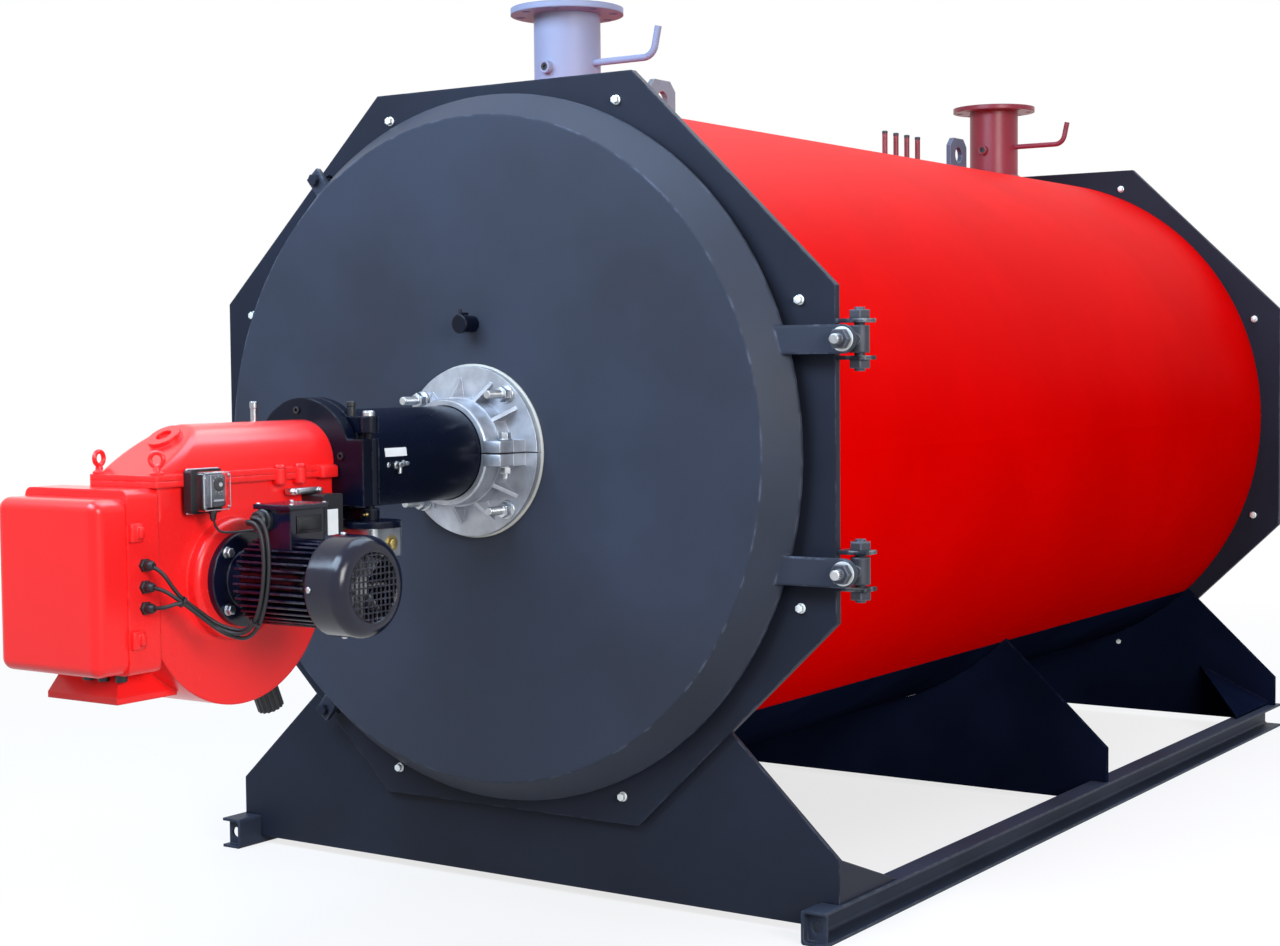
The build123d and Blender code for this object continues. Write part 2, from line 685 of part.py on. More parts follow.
# Swinging half of the burner
def swing_ring():
    y0 = SWING_RING_FRONT_Y
    y1 = SWING_RING_BACK_Y
    low = SWING_KNUCKLE[0]
    high = SWING_KNUCKLE[1]
    body = rod_y(0, 0, RING_R, y0, y1)
    body += box_between(RING_R / 2.0, POST_X + KNUCKLE_R, y0, y1, low, high)
    body += rod_z(POST_X, POST_Y, KNUCKLE_R, low, high)
    body -= rod_y(0, 0, SWING_BORE_R, y0 - 1.0, y1 + 1.0)
    return body - rod_z(POST_X, POST_Y, POST_R + POST_FIT, low - 1.0, high + 1.0)


def housing_outline():
    low = FAN_Z
    corner_y = HOUSE_BACK_Y - NECK_DEPTH
    points = [(HOUSE_FRONT_Y, SPLIT_Z - LIP_T), (HOUSE_BACK_Y, SPLIT_Z - LIP_T)]
    points += [(HOUSE_BACK_Y, NECK_BOTTOM_Z), (corner_y, FAN_Z), (FAN_Y, low), (HOUSE_FRONT_Y, low)]
    return points


def burner_foot():
    base = box_between(FOOT_LEFT_X, FOOT_RIGHT_X, FOOT_FRONT_Y, FOOT_BACK_Y, FOOT_BOTTOM_Z, FOOT_BOTTOM_Z + FOOT_RIM_T)
    low = Plane.XY.offset(FOOT_BOTTOM_Z + FOOT_RIM_T)
    high = Plane.XY.offset(FOOT_TOP_Z)
    middle = Pos((FOOT_LEFT_X + FOOT_RIGHT_X) / 2.0, (FOOT_FRONT_Y + FOOT_BACK_Y) / 2.0)
    wide = FOOT_RIGHT_X - FOOT_LEFT_X
    deep = FOOT_BACK_Y - FOOT_FRONT_Y
    lower = low * middle * Rectangle(wide, deep)
    upper = high * middle * Rectangle(wide - FOOT_TAPER, deep - FOOT_TAPER)
    web_top = VOLUTE_Z - VOLUTE_R * WEB_SHARE
    front = HOUSE_FRONT_Y + FOOT_RIM_T
    web = box_between(FOOT_LEFT_X / 2.0, 0.0, front, FOOT_BACK_Y - FOOT_RIM_T, FOOT_BOTTOM_Z, web_top)
    return base + loft([lower.face(), upper.face()]) + web


def motor_boss():
    boss = rod_x(FAN_Y, FAN_Z, BOSS_R, HOUSE_HALF_W, BOSS_X)
    return fillet(boss.edges().sort_by(Axis.X)[-1], BOSS_ROUND)


def lip_plate(low):
    plate = box_between(-LIP_HALF_W, LIP_HALF_W, LIP_FRONT_Y, HOUSE_BACK_Y, low, low + LIP_T)
    return fillet(plate.edges().filter_by(Axis.Z).sort_by(Axis.Y)[:2], LIP_ROUND)


def burner_housing():
    w = HOUSE_HALF_W
    body = slab_x(housing_outline(), -w, w)
    body = fillet(body.edges().filter_by(Axis.Z).sort_by(Axis.Y)[:2], HOUSE_ROUND)
    body += rod_x(VOLUTE_Y, VOLUTE_Z, VOLUTE_R, -w, w) + motor_boss()
    body -= box_between(-REACH, REACH, -REACH, HOUSE_FRONT_Y, -REACH, REACH)
    body -= box_between(-REACH, REACH, -REACH, 0.0, SPLIT_Z - LIP_T, REACH)
    neck = rod_y(0, 0, -NECK_BOTTOM_Z, HOUSE_BACK_Y - NECK_DEPTH, HOUSE_BACK_Y)
    body += neck & box_between(-w, w, -REACH, 0.0, -REACH, SPLIT_Z - LIP_T)
    body += lip_plate(SPLIT_Z - LIP_T)
    body += burner_foot()
    return body - rod_y(0, 0, SWING_BORE_R, HOUSE_BACK_Y - NECK_DEPTH, 0.0)


def top_cover():
    w = COVER_HALF_W
    top = COVER_TOP_Z
    base = SPLIT_Z + LIP_T
    arch = ThreePointArc(Vector(-w, HOUSE_BACK_Y, base), Vector(0, HOUSE_BACK_Y, top), Vector(w, HOUSE_BACK_Y, base))
    floor = Line(Vector(w, HOUSE_BACK_Y, base), Vector(-w, HOUSE_BACK_Y, base))
    dome = extrude(make_face(Curve() + [arch, floor]), amount=HOUSE_BACK_Y - SLOPE_FOOT_Y, dir=Vector(0, -1, 0))
    wedge = [(SLOPE_TOP_Y, top), (SLOPE_FOOT_Y, base), (LIP_FRONT_Y * 2.0, base), (LIP_FRONT_Y * 2.0, top * 2.0)]
    wedge += [(SLOPE_TOP_Y, top * 2.0)]
    dome -= slab_x(wedge, -REACH, REACH)
    front = dome.faces().sort_by(Axis.Y)[0]
    dome = fillet(front.edges().sort_by(Axis.Z)[1:], COVER_ROUND)
    body = dome + lip_plate(SPLIT_Z)
    body -= rod_y(0, 0, SWING_BORE_R, HOUSE_BACK_Y - NECK_DEPTH, 0.0)
    return sight_port(body)


def sight_port(body):
    run = SLOPE_TOP_Y - SLOPE_FOOT_Y
    rise = COVER_TOP_Z - SPLIT_Z - LIP_T
    tilt = math.degrees(math.atan2(rise, run))
    middle = Pos(0, SLOPE_FOOT_Y + run * PORT_SHARE, SPLIT_Z + LIP_T + rise * PORT_SHARE)
    body += middle * Rot(tilt, 0, 0) * Cylinder(PORT_R, PORT_HEIGHT * 2.0)
    return body - middle * Rot(tilt, 0, 0) * Pos(0, 0, PORT_HEIGHT) * Cylinder(PORT_BORE_R, PORT_HEIGHT * 2.0)


def control_box():
    body = box_between(BOX_LEFT_X, BOX_RIGHT_X, BOX_FRONT_Y, HOUSE_FRONT_Y, BOX_BOTTOM_Z, BOX_TOP_Z)
    return fillet(body.edges().filter_by(Axis.Y), BOX_ROUND)


def control_lid():
    body = box_between(
        BOX_LEFT_X + LID_INSET,
        BOX_RIGHT_X - LID_INSET,
        LID_FRONT_Y,
        BOX_FRONT_Y,
        BOX_BOTTOM_Z + LID_INSET,
        BOX_TOP_Z - LID_DROP,
    )
    body = fillet(body.edges().filter_by(Axis.Y), LID_CORNER)
    return fillet(body.faces().sort_by(Axis.Y)[0].edges(), LID_ROUND)


# Fan motor
def motor_body():
    x0 = BOSS_X + MOTOR_FLANGE_T
    body = rod_x(FAN_Y, FAN_Z, MOTOR_FLANGE_R, BOSS_X, x0)
    body += rod_x(FAN_Y, FAN_Z, MOTOR_NECK_R, x0, x0 + MOTOR_NECK)
    x0 += MOTOR_NECK
    body += rod_x(FAN_Y, FAN_Z, MOTOR_BODY_R, x0, MOTOR_BODY_END_X)
    length = COWL_START_X - MOTOR_FLANGE_T - x0
    for i in range(MOTOR_FINS):
        fin = Pos(length / 2.0, 0, MOTOR_FIN_R - MOTOR_BODY_R / 6.0) * Box(length, MOTOR_FIN_T, MOTOR_BODY_R / 3.0)
        body += Pos(x0, FAN_Y, FAN_Z) * Rot(360.0 * i / MOTOR_FINS, 0, 0) * fin
    return body - terminal_block(CLEAR)


def terminal_block(grow):
    low = FAN_Z + MOTOR_BODY_R - MOTOR_FIN_T
    return box_between(
        TBOX_LEFT_X + TBOX_LIP - grow,
        TBOX_RIGHT_X - TBOX_LIP + grow,
        FAN_Y - TBOX_HALF_Y + TBOX_LIP - grow,
        FAN_Y + TBOX_HALF_Y - TBOX_LIP + grow,
        low,
        TBOX_TOP_Z - TBOX_LID_T,
    )


def terminal_box():
    body = terminal_block(0.0)
    lid = box_between(
        TBOX_LEFT_X,
        TBOX_RIGHT_X,
        FAN_Y - TBOX_HALF_Y,
        FAN_Y + TBOX_HALF_Y,
        TBOX_TOP_Z - TBOX_LID_T,
        TBOX_TOP_Z,
    )
    return body + lid


def motor_cowl():
    body = rod_x(FAN_Y, FAN_Z, COWL_R, COWL_START_X, COWL_END_X)
    body = fillet(body.edges().sort_by(Axis.X)[-1], COWL_ROUND)
    body -= rod_x(FAN_Y, FAN_Z, COWL_R - COWL_T, COWL_START_X, COWL_END_X - COWL_ROUND)
    body -= rod_x(FAN_Y, FAN_Z, GRILLE_R, COWL_END_X - COWL_ROUND, COWL_END_X)
    x0 = COWL_END_X - GRILLE_BAR * 2.0
    bars = Part()
    for i in range(GRILLE_BARS):
        at = GRILLE_R * (2.0 * (i + 0.5) / GRILLE_BARS - 1.0)
        half = GRILLE_BAR / 2.0
        bars += box_between(x0, x0 + GRILLE_BAR, FAN_Y + at - half, FAN_Y + at + half, FAN_Z - GRILLE_R, FAN_Z + GRILLE_R)
        bars += box_between(x0, x0 + GRILLE_BAR, FAN_Y - GRILLE_R, FAN_Y + GRILLE_R, FAN_Z + at - half, FAN_Z + at + half)
    body += bars & rod_x(FAN_Y, FAN_Z, GRILLE_R + COWL_T, x0, COWL_END_X)
    spider = Part()
    for i in range(4):
        leg = Pos(0, 0, (COWL_R - COWL_T) / 2.0) * Box(MOTOR_FLANGE_T, MOTOR_FLANGE_T, COWL_R - COWL_T)
        spider += Pos(COWL_START_X + MOTOR_FLANGE_T / 2.0, FAN_Y, FAN_Z) * Rot(45.0 + 90.0 * i, 0, 0) * leg
    spider -= rod_x(FAN_Y, FAN_Z, MOTOR_BODY_R + CLEAR, 0.0, COWL_END_X)
    return body + spider


# Small burner fittings
def servo_box():
    x0 = LIP_HALF_W - LIP_T
    body = box_between(x0, x0 + SERVO_X, SERVO_FRONT_Y, SERVO_BACK_Y, SERVO_BOTTOM_Z, SERVO_TOP_Z)
    return fillet(body.edges().filter_by(Axis.X), SERVO_X / 12.0)


def pressure_switch():
    x0 = LIP_HALF_W
    body = box_between(x0, x0 + SWITCH_BASE_X, SWITCH_FRONT_Y, SWITCH_BACK_Y, SWITCH_BOTTOM_Z, SWITCH_TOP_Z)
    return fillet(body.edges().filter_by(Axis.X), SWITCH_ROUND)


def switch_cover():
    x0 = LIP_HALF_W + SWITCH_BASE_X
    y0 = SWITCH_FRONT_Y + SWITCH_INSET
    z0 = SWITCH_BOTTOM_Z + SWITCH_INSET / 2.0
    body = box_between(x0, x0 + SWITCH_COVER_X, y0, SWITCH_BACK_Y, z0, SWITCH_TOP_Z - SWITCH_INSET / 2.0)
    body = fillet(body.edges().filter_by(Axis.X), SWITCH_ROUND)
    return fillet(body.faces().sort_by(Axis.X)[-1].edges(), SWITCH_ROUND / 2.0)


def damper_knob():
    knob = Cylinder(KNOB_R, KNOB_LENGTH)
    for i in range(KNOB_FLUTES):
        x, y = polar(KNOB_R, 360.0 * i / KNOB_FLUTES)
        knob -= Pos(x, y, 0) * Cylinder(KNOB_FLUTE_R, KNOB_LENGTH)
    reach = VOLUTE_R + KNOB_LENGTH / 2.0
    y, z = polar(reach, KNOB_ANGLE)
    knob = Pos(KNOB_X, VOLUTE_Y + y, VOLUTE_Z + z) * Rot(KNOB_ANGLE - 90.0, 0, 0) * knob
    return knob - rod_x(VOLUTE_Y, VOLUTE_Z, VOLUTE_R + CLEAR, -REACH, REACH)


# Leads: straight runs joined by tangent arcs
def corner_radius(before, at, after):
    first = before - at
    second = after - at
    turn = math.pi - math.radians(first.get_angle(second))
    return ROUND_SHARE * min(first.length, second.length) / math.tan(turn / 2.0)


def lead(name, points, r):
    spots = [Vector(*p) for p in points]
    radii = [corner_radius(*spots[i : i + 3]) for i in range(len(spots) - 2)]
    path = FilletPolyline(*spots, radius=radii)
    print(name, "length", round(path.length, 1), "radii", [round(v, 1) for v in radii])
    profile = Plane(origin=path @ 0, z_dir=path % 0) * Circle(r)
    return sweep(profile, path=path)


GLAND_Y = -1245.0
GLAND_ZS = (-174.0, -216.0, -257.0)
LEAD_START_X = BOX_RIGHT_X
LEAD_GAP = 12.0


LEAD_RISE_X = TBOX_RIGHT_X - 4.0
LEAD_FRONT_Y = FAN_Y - COWL_R - 12.0
LEAD_LOW_Z = FAN_Z - COWL_R
LEAD_TOP_Z = TBOX_TOP_Z - 32.0


def motor_lead(i):
    # i counts the three glands from the top down; the leads run side by side.
    shift = (i - 1) * LEAD_GAP
    end_y = FAN_Y - TBOX_HALF_Y + TBOX_LIP
    end_x = TBOX_LEFT_X + LEAD_GAP * 2.0 + shift
    end_z = LEAD_TOP_Z + shift
    gland_z = GLAND_ZS[i]
    points = [(LEAD_START_X, GLAND_Y, gland_z)]
    points += [(LEAD_START_X + 42.0 + shift / 2.0, GLAND_Y, gland_z)]
    points += [(LEAD_START_X + 62.0 + shift, GLAND_Y + 40.0, FAN_Z - 22.0 - shift)]
    points += [(LEAD_START_X + 92.0 + shift, LEAD_FRONT_Y - 14.0, LEAD_LOW_Z + 4.0 - shift)]
    points += [(LEAD_RISE_X - 44.0 + shift / 2.0, LEAD_FRONT_Y, LEAD_LOW_Z - shift)]
    points += [(LEAD_RISE_X + shift, LEAD_FRONT_Y, FAN_Z)]
    points += [(LEAD_RISE_X - 8.0 + shift, LEAD_FRONT_Y, end_z)]
    points += [(end_x, LEAD_FRONT_Y + 4.0, end_z)]
    points += [(end_x, end_y, end_z)]
    return points


SWITCH_LEAD_Y = -1100.0
SWITCH_LEAD_DROP = 38.0
SWITCH_LEAD_RUN = 34.0


def switch_lead_points():
    x = LIP_HALF_W + SWITCH_BASE_X + SWITCH_COVER_X / 2.0
    top = SWITCH_BOTTOM_Z + SWITCH_INSET / 2.0
    low = top - SWITCH_LEAD_DROP
    side = TBOX_LEFT_X + TBOX_LIP - SWITCH_LEAD_R
    points = [(x, SWITCH_LEAD_Y, top), (x, SWITCH_LEAD_Y, low)]
    points += [(x + SWITCH_LEAD_RUN / 2.0, SWITCH_LEAD_Y + SWITCH_LEAD_RUN, low - SWITCH_LEAD_R * 3.0)]
    return points + [(side, FAN_Y - TBOX_HALF_Y / 2.0, low + SWITCH_LEAD_R)]


save("front_plate", front_plate())
save("rear_plate", pan(BODY_LENGTH, FLUE_R + CLEAR))
save("cladding", cladding())
save("belly_sheet", belly_sheet())
save("pressure_shell", pressure_shell())
save("front_tube_plate", front_tube_plate())
save("furnace_tube", furnace_tube())
save("flue_outlet", flue_outlet())
save("front_support", front_support())
save("mid_support", support_plate(MID_SUPPORT_Y))
save("rear_support", rear_support())
save("left_rail", rail(-1))
save("right_rail", rail(1))
save("supply_nozzle", nozzle(SUPPLY_Y))
save("return_nozzle", nozzle(RETURN_Y))
save("sensor_stubs", sensor_stubs())
save("lifting_lugs", lifting_lug(FRONT_LUG_Y) + lifting_lug(REAR_LUG_Y))
save("hinge_brackets", hinge_bracket(HINGE_Z) + hinge_bracket(-HINGE_Z))
save("hinge_pins", hinge_pin(HINGE_Z) + hinge_pin(-HINGE_Z))
save("eye_bolts", eye_bolt(HINGE_Z) + eye_bolt(-HINGE_Z))
save("closing_bolts", closing_bolt(1) + closing_bolt(-1))
save("upper_mount_half", mount_half(1))
save("lower_mount_half", mount_half(-1))
save("front_door", front_door())
save("door_lining", door_lining())
save("peep_stub", peep_stub())
save("mount_gasket", gasket())
save("blast_tube", blast_tube())
save("hinge_post", hinge_post())
save("valve_disc", valve_disc())
save("gas_valve", gas_valve())
save("swing_ring", swing_ring())
save("burner_housing", burner_housing())
save("top_cover", top_cover())
save("control_box", control_box())
save("control_lid", control_lid())
save("motor_body", motor_body())
save("terminal_box", terminal_box())
save("motor_cowl", motor_cowl())
save("servo_box", servo_box())
save("pressure_switch", pressure_switch())
save("switch_cover", switch_cover())
save("damper_knob", damper_knob())
for order, label in enumerate(("upper", "middle", "lower")):
    save(label + "_lead", lead(label + "_lead", motor_lead(order), LEAD_R))
save("switch_lead", lead("switch_lead", switch_lead_points(), SWITCH_LEAD_R))
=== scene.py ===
# %% [markdown]
# # A shell boiler with a swing-out burner, dressed in Blender
# The CAD model is already the right shape and size. This lesson loads it, sets up the camera
# and the light, gives each piece the finish of the real one, and adds the small things
# that a CAD model leaves out: bolt heads, glands, cables, a fan and weld beads.

# %% Load the frame
import math
import bpy
import bmesh
from mathutils import Matrix, Vector


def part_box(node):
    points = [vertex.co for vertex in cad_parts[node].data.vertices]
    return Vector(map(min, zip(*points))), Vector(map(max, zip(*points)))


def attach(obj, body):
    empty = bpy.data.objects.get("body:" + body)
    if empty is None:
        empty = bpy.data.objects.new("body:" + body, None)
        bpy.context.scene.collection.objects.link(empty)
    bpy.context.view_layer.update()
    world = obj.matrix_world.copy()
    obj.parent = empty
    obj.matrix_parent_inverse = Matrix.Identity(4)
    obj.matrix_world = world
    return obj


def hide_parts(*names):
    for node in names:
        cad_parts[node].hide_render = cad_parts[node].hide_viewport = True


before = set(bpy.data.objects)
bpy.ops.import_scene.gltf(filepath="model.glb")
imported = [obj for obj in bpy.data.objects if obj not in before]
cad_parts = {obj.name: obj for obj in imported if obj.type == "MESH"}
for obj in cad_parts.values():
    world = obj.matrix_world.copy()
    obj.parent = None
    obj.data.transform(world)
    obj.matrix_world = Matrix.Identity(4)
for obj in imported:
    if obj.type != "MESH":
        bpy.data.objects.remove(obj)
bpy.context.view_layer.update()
scene = bpy.context.scene

# %% [markdown]
# ## Where things are
# Every drawing of a boiler starts from the axis of its drum and the face of its front plate.
# The plate is a regular shape round the axis, so its box in the CAD model gives both, and nothing
# is fitted by eye: places below are in millimetres from that axis and that face, as a fitter
# measures them.

# %% The axis and the front face
plate_low, plate_high = (Vector(corner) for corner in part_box("front_plate"))
AXIS_X = (plate_low.x + plate_high.x) / 2
AXIS_Z = (plate_low.z + plate_high.z) / 2
FACE_Y = plate_low.y
MM = 0.001


def spot(x, y, z):
    return Vector((AXIS_X + x * MM, FACE_Y + y * MM, AXIS_Z + z * MM))


RIGHT = Vector((1, 0, 0))
FRONT, BACK = Vector((0, -1, 0)), Vector((0, 1, 0))
DOWN, UP = Vector((0, 0, -1)), Vector((0, 0, 1))
print("axis", round(AXIS_X, 4), round(AXIS_Z, 4), "face", round(FACE_Y, 4))

# %% [markdown]
# ## The camera
# The photograph was taken from the front right, at about the height of the drum's axis,
# with a moderate lens, and held a little off level. The corners of the two end plates
# fix all of that. The camera is set from those angles directly, because aiming it
# by a constraint would lose the small roll.

# %% Set the camera
STANDPOINT = spot(3105.3, -4001.8, 201.8)
TURN, TILT, ROLL = math.radians(34.044), math.radians(2.984), math.radians(-0.523)
SENSOR, FOCAL = 36.0, 58.31
ahead = Vector((-math.sin(TURN) * math.cos(TILT), math.cos(TURN) * math.cos(TILT), -math.sin(TILT)))
level = ahead.cross(UP).normalized()
above = level.cross(ahead)
across = level * math.cos(ROLL) + above * math.sin(ROLL)
upward = above * math.cos(ROLL) - level * math.sin(ROLL)
lens = bpy.data.cameras.new("camera")
lens.sensor_fit, lens.sensor_width, lens.lens = "HORIZONTAL", SENSOR, FOCAL
lens.clip_start, lens.clip_end = 0.1, 200.0
camera = bpy.data.objects.new("camera", lens)
facing = Matrix((across, upward, -ahead)).transposed().to_4x4()
camera.matrix_world = Matrix.Translation(STANDPOINT) @ facing
scene.collection.objects.link(camera)
bpy.context.scene.camera = camera
print("camera at", [round(v, 3) for v in camera.location])

# %% [markdown]
# ## A short way to write shaders
# A shader is a graph of nodes. Drawing dozens of boxes by hand hides the idea behind each
# finish, so one small class wraps a socket: adding or multiplying two of them adds the Math
# node for it, and 1 - mask reads as it does on paper. A second class holds a graph and has one
# method that makes every other kind of node. A third one is a graph round a Principled shader.

# %% Sockets that can be added and multiplied
class Wire:
    def __init__(self, graph, socket):
        self.graph = graph
        self.socket = socket

    def math(self, operation, first, second):
        return self.graph.node("ShaderNodeMath", {"operation": operation}, {0: first, 1: second})

    def __add__(self, other):
        return self.math("ADD", self, other)

    def __radd__(self, other):
        return self.math("ADD", other, self)

    def __sub__(self, other):
        return self.math("SUBTRACT", self, other)

    def __rsub__(self, other):
        return self.math("SUBTRACT", other, self)

    def __mul__(self, other):
        return self.math("MULTIPLY", self, other)

    def __gt__(self, other):
        return self.math("GREATER_THAN", self, other)

    def at_least(self, other):
        return self.math("MAXIMUM", self, other)

    def at_most(self, other):
        return self.math("MINIMUM", self, other)


print("sockets add, subtract, multiply and compare")


# %% A graph and its one node method
class Graph:
    def __init__(self, tree, output):
        self.tree = tree
        self.tree.nodes.clear()
        self.output = self.tree.nodes.new(output)

    def join(self, socket, value):
        if isinstance(value, Wire):
            self.tree.links.new(value.socket, socket)
        else:
            socket.default_value = value

    def show(self, shader):
        self.join(self.output.inputs["Surface"], shader)

    def stops(self, ramp, stops):
        while len(ramp.elements) < len(stops):
            ramp.elements.new(1.0)
        for element, (position, grey) in zip(ramp.elements, stops):
            element.position, element.color = position, (grey, grey, grey, 1.0)

    def node(self, kind, settings, sockets, output=0):
        made = self.tree.nodes.new(kind)
        for key, value in settings.items():
            if key == "stops":
                self.stops(made.color_ramp, value)
            else:
                setattr(made, key, value)
        for key, value in sockets.items():
            self.join(made.inputs[key], value)
        return Wire(self, made.outputs[output])

    def ray(self, kind):
        return self.node("ShaderNodeLightPath", {}, {}, f"Is {kind} Ray")


print("graph tools ready")


# %% A finish round a Principled shader
class Finish(Graph):
    def __init__(self, name, **fixed):
        self.material = bpy.data.materials.new(name)
        self.material.use_nodes = True
        super().__init__(self.material.node_tree, "ShaderNodeOutputMaterial")
        self.shader = self.node("ShaderNodeBsdfPrincipled", {}, {})
        self.show(self.shader)
        self.place = self.node("ShaderNodeTexCoord", {}, {}, "Object")
        self.put(**fixed)

    def put(self, **values):
        # Socket names are written with _ for a space: base_color is "Base Color".
        sockets = self.shader.socket.node.inputs
        for key, value in values.items():
            self.join(sockets[key.replace("_", " ").title().replace("Ior", "IOR")], value)

    def noise(self, scale, detail=2.0):
        where = {"Vector": self.place, "Scale": scale, "Detail": detail}
        return self.node("ShaderNodeTexNoise", {}, where)

    def ramp(self, value, *stops):
        return self.node("ShaderNodeValToRGB", {"stops": stops}, {"Fac": value})

    def mix(self, share, first, second):
        sockets = {"Factor": share, 6: first, 7: second}
        return self.node("ShaderNodeMix", {"data_type": "RGBA"}, sockets, 2)

    def edge(self, radius):
        # How much a rounded edge would turn the surface here: 0 on a flat, towards 1 on a corner.
        soft = self.node("ShaderNodeBevel", {"samples": 4}, {"Radius": radius})
        true = self.node("ShaderNodeNewGeometry", {}, {}, "Normal")
        same = self.node("ShaderNodeVectorMath", {"operation": "DOT_PRODUCT"}, {0: soft, 1: true}, 1)
        return soft, 1.0 - same

    def facing_up(self):
        normal = self.node("ShaderNodeNewGeometry", {}, {}, "Normal")
        return self.node("ShaderNodeSeparateXYZ", {}, {"Vector": normal}, 2).at_least(0.0)

    def bump(self, height, distance, strength, normal):
        sockets = {"Height": height, "Distance": distance, "Strength": strength, "Normal": normal}
        self.put(normal=self.node("ShaderNodeBump", {}, sockets))


def tint(red, green, blue):
    # A colour as read on a screen, turned into the light values that a shader works in.
    parts = (c / 255.0 for c in (red, green, blue))
    light = (c / 12.92 if c <= 0.04045 else ((c + 0.055) / 1.055) ** 2.4 for c in parts)
    return (*light, 1.0)


WHITE = (1.0, 1.0, 1.0, 1.0)
print("a mid grey as light values:", [round(c, 4) for c in tint(128, 128, 128)])

# %% [markdown]
# ## Background and light
# The boiler was cut out on white, standing in open daylight: soft blue sky from above and a broad
# light from the front right. To the camera and to reflections the world is plain white, and to all
# else it is a weak blue sky, so the white doesn't wash out the paint. Area lamps stand in for the
# brighter parts of the sky, because their size sets how soft the highlights are.

# %% Background that only the camera and reflections see
SKY_BLUE, SKY_LEVEL = (0.72, 0.85, 1.0, 1.0), 0.26
scene.view_settings.view_transform = "Standard"
world = bpy.data.worlds.new("daylight")
scene.world = world
world.use_nodes = True
sky = Graph(world.node_tree, "ShaderNodeOutputWorld")
seen = sky.ray("Camera").at_least(sky.ray("Transmission")).at_least(sky.ray("Glossy"))
soft_sky = sky.node("ShaderNodeBackground", {}, {"Color": SKY_BLUE, "Strength": SKY_LEVEL})
plain_white = sky.node("ShaderNodeBackground", {}, {"Color": WHITE, "Strength": 1.0})
sky.show(sky.node("ShaderNodeMixShader", {}, {0: seen, 1: soft_sky, 2: plain_white}))
print("background: white to the camera, soft sky to the object")

# %% Lamps
OPEN_SKY, PALE_SKY, SUNLIT = (0.60, 0.78, 1.0), (0.90, 0.95, 1.0), (1.0, 0.98, 0.95)


def softbox(name, place, target, wide, high, power, colour):
    lamp = bpy.data.lights.new(name, "AREA")
    lamp.shape, lamp.size, lamp.size_y = "RECTANGLE", wide, high
    lamp.energy, lamp.color = power, colour
    holder = bpy.data.objects.new(name, lamp)
    aim = (Vector(target) - Vector(place)).to_track_quat("-Z", "Y")
    holder.matrix_world = Matrix.Translation(place) @ aim.to_matrix().to_4x4()
    holder.visible_camera = False
    scene.collection.objects.link(holder)


softbox("sky_panel", place=(1.2, 1.0, 7.2), target=(0.4, 0.2, 1.0), wide=4.0, high=6.0,
        power=335.0, colour=OPEN_SKY)
softbox("back_sky", place=(-0.3, 3.8, 6.0), target=(0.0, -2.0, 1.2), wide=4.5, high=2.0,
        power=110.0, colour=PALE_SKY)
softbox("front_high", place=(-0.6, -4.0, 3.5), target=(-0.1, -1.2, 1.5), wide=3.4, high=1.6,
        power=215.0, colour=OPEN_SKY)
softbox("front_right", place=(6.0, -3.8, 2.8), target=(0.4, -0.4, 1.2), wide=3.0, high=2.4,
        power=310.0, colour=SUNLIT)

# %% [markdown]
# ## Painted sheet steel
# The end plates, the door and the feet are sprayed in dark slate and navy enamel, the drum's
# cladding in red. Sprayed paint is never flat: it has a fine orange-peel ripple, its gloss wanders,
# dust settles on upward faces, and its edges are lighter, partly chipped paint and partly a painted
# highlight. A Bevel node finds the edges and rounds them for the light too, so the CAD meshes
# stay as they are.

# %% Sprayed enamel
DUST_GREY = (0.60, 0.60, 0.62, 1.0)


def enamel(name, colour, deep, worn_and_glint, gloss=0.34, dust=0.10, shine=0.25, wear_and_glint=0.5, coat=0.0,
           sheen_up=0.0, rim=0.006, coat_gloss=0.12):
    # Three colours: the paint, its darker clouds, and the lighter edge colour, partly chipped paint and
    # partly a painted highlight.
    paint = Finish(name, ior=1.5, coat_roughness=coat_gloss, specular_ior_level=shine)
    cloud = paint.noise(scale=2.2, detail=5.0)
    speck = paint.noise(scale=48.0, detail=6.0)
    body = paint.mix(paint.ramp(cloud, (0.36, 0.0), (0.66, 1.0)), tint(*deep), tint(*colour))
    powder = (paint.facing_up() * dust + speck * dust * 0.25).at_most(1.0)
    body = paint.mix(powder, body, DUST_GREY)
    rounded, edge = paint.edge(rim)
    # Lightened edges: chipped paint, and a painted highlight that every edge catches.
    chips = paint.ramp(paint.noise(scale=26.0, detail=8.0), (0.46, 0.0), (0.62, 1.0))
    rubbed_and_glint = (edge * 3.0 * chips).at_most(1.0)
    paint.put(base_color=paint.mix(rubbed_and_glint * wear_and_glint, body, tint(*worn_and_glint)))
    paint.put(roughness=gloss + cloud * 0.10 + speck * 0.06 + rubbed_and_glint * 0.12)
    paint.put(coat_weight=coat + paint.facing_up() * sheen_up)
    orange_peel = paint.noise(scale=420.0) + paint.noise(scale=36.0) * 3.0
    paint.bump(orange_peel, distance=0.00012, strength=0.6, normal=rounded)
    return paint.material


print("enamel is ready to mix")

# %% Dark paints of plates, feet and hinges
# Pale edges at a high share: chipped paint, and a painted highlight along the door's rim.
slate = enamel("slate_enamel", (53, 59, 74), (47, 51, 62), (136, 144, 168), gloss=0.40, dust=0.02,
               shine=0.16, wear_and_glint=0.9, rim=0.010)
navy = enamel("navy_enamel", (37, 42, 56), (30, 33, 44), (120, 126, 146), gloss=0.38, dust=0.02,
              shine=0.10)
# A darker copy of the navy: painted shade on the mid and rear supports and the drum's underside, which
# stand in shadow under the drum.
shaded_navy = enamel("shaded_navy_enamel", (21, 28, 52), (13, 19, 37), (70, 76, 92), gloss=0.36, dust=0.0,
                   shine=0.0)
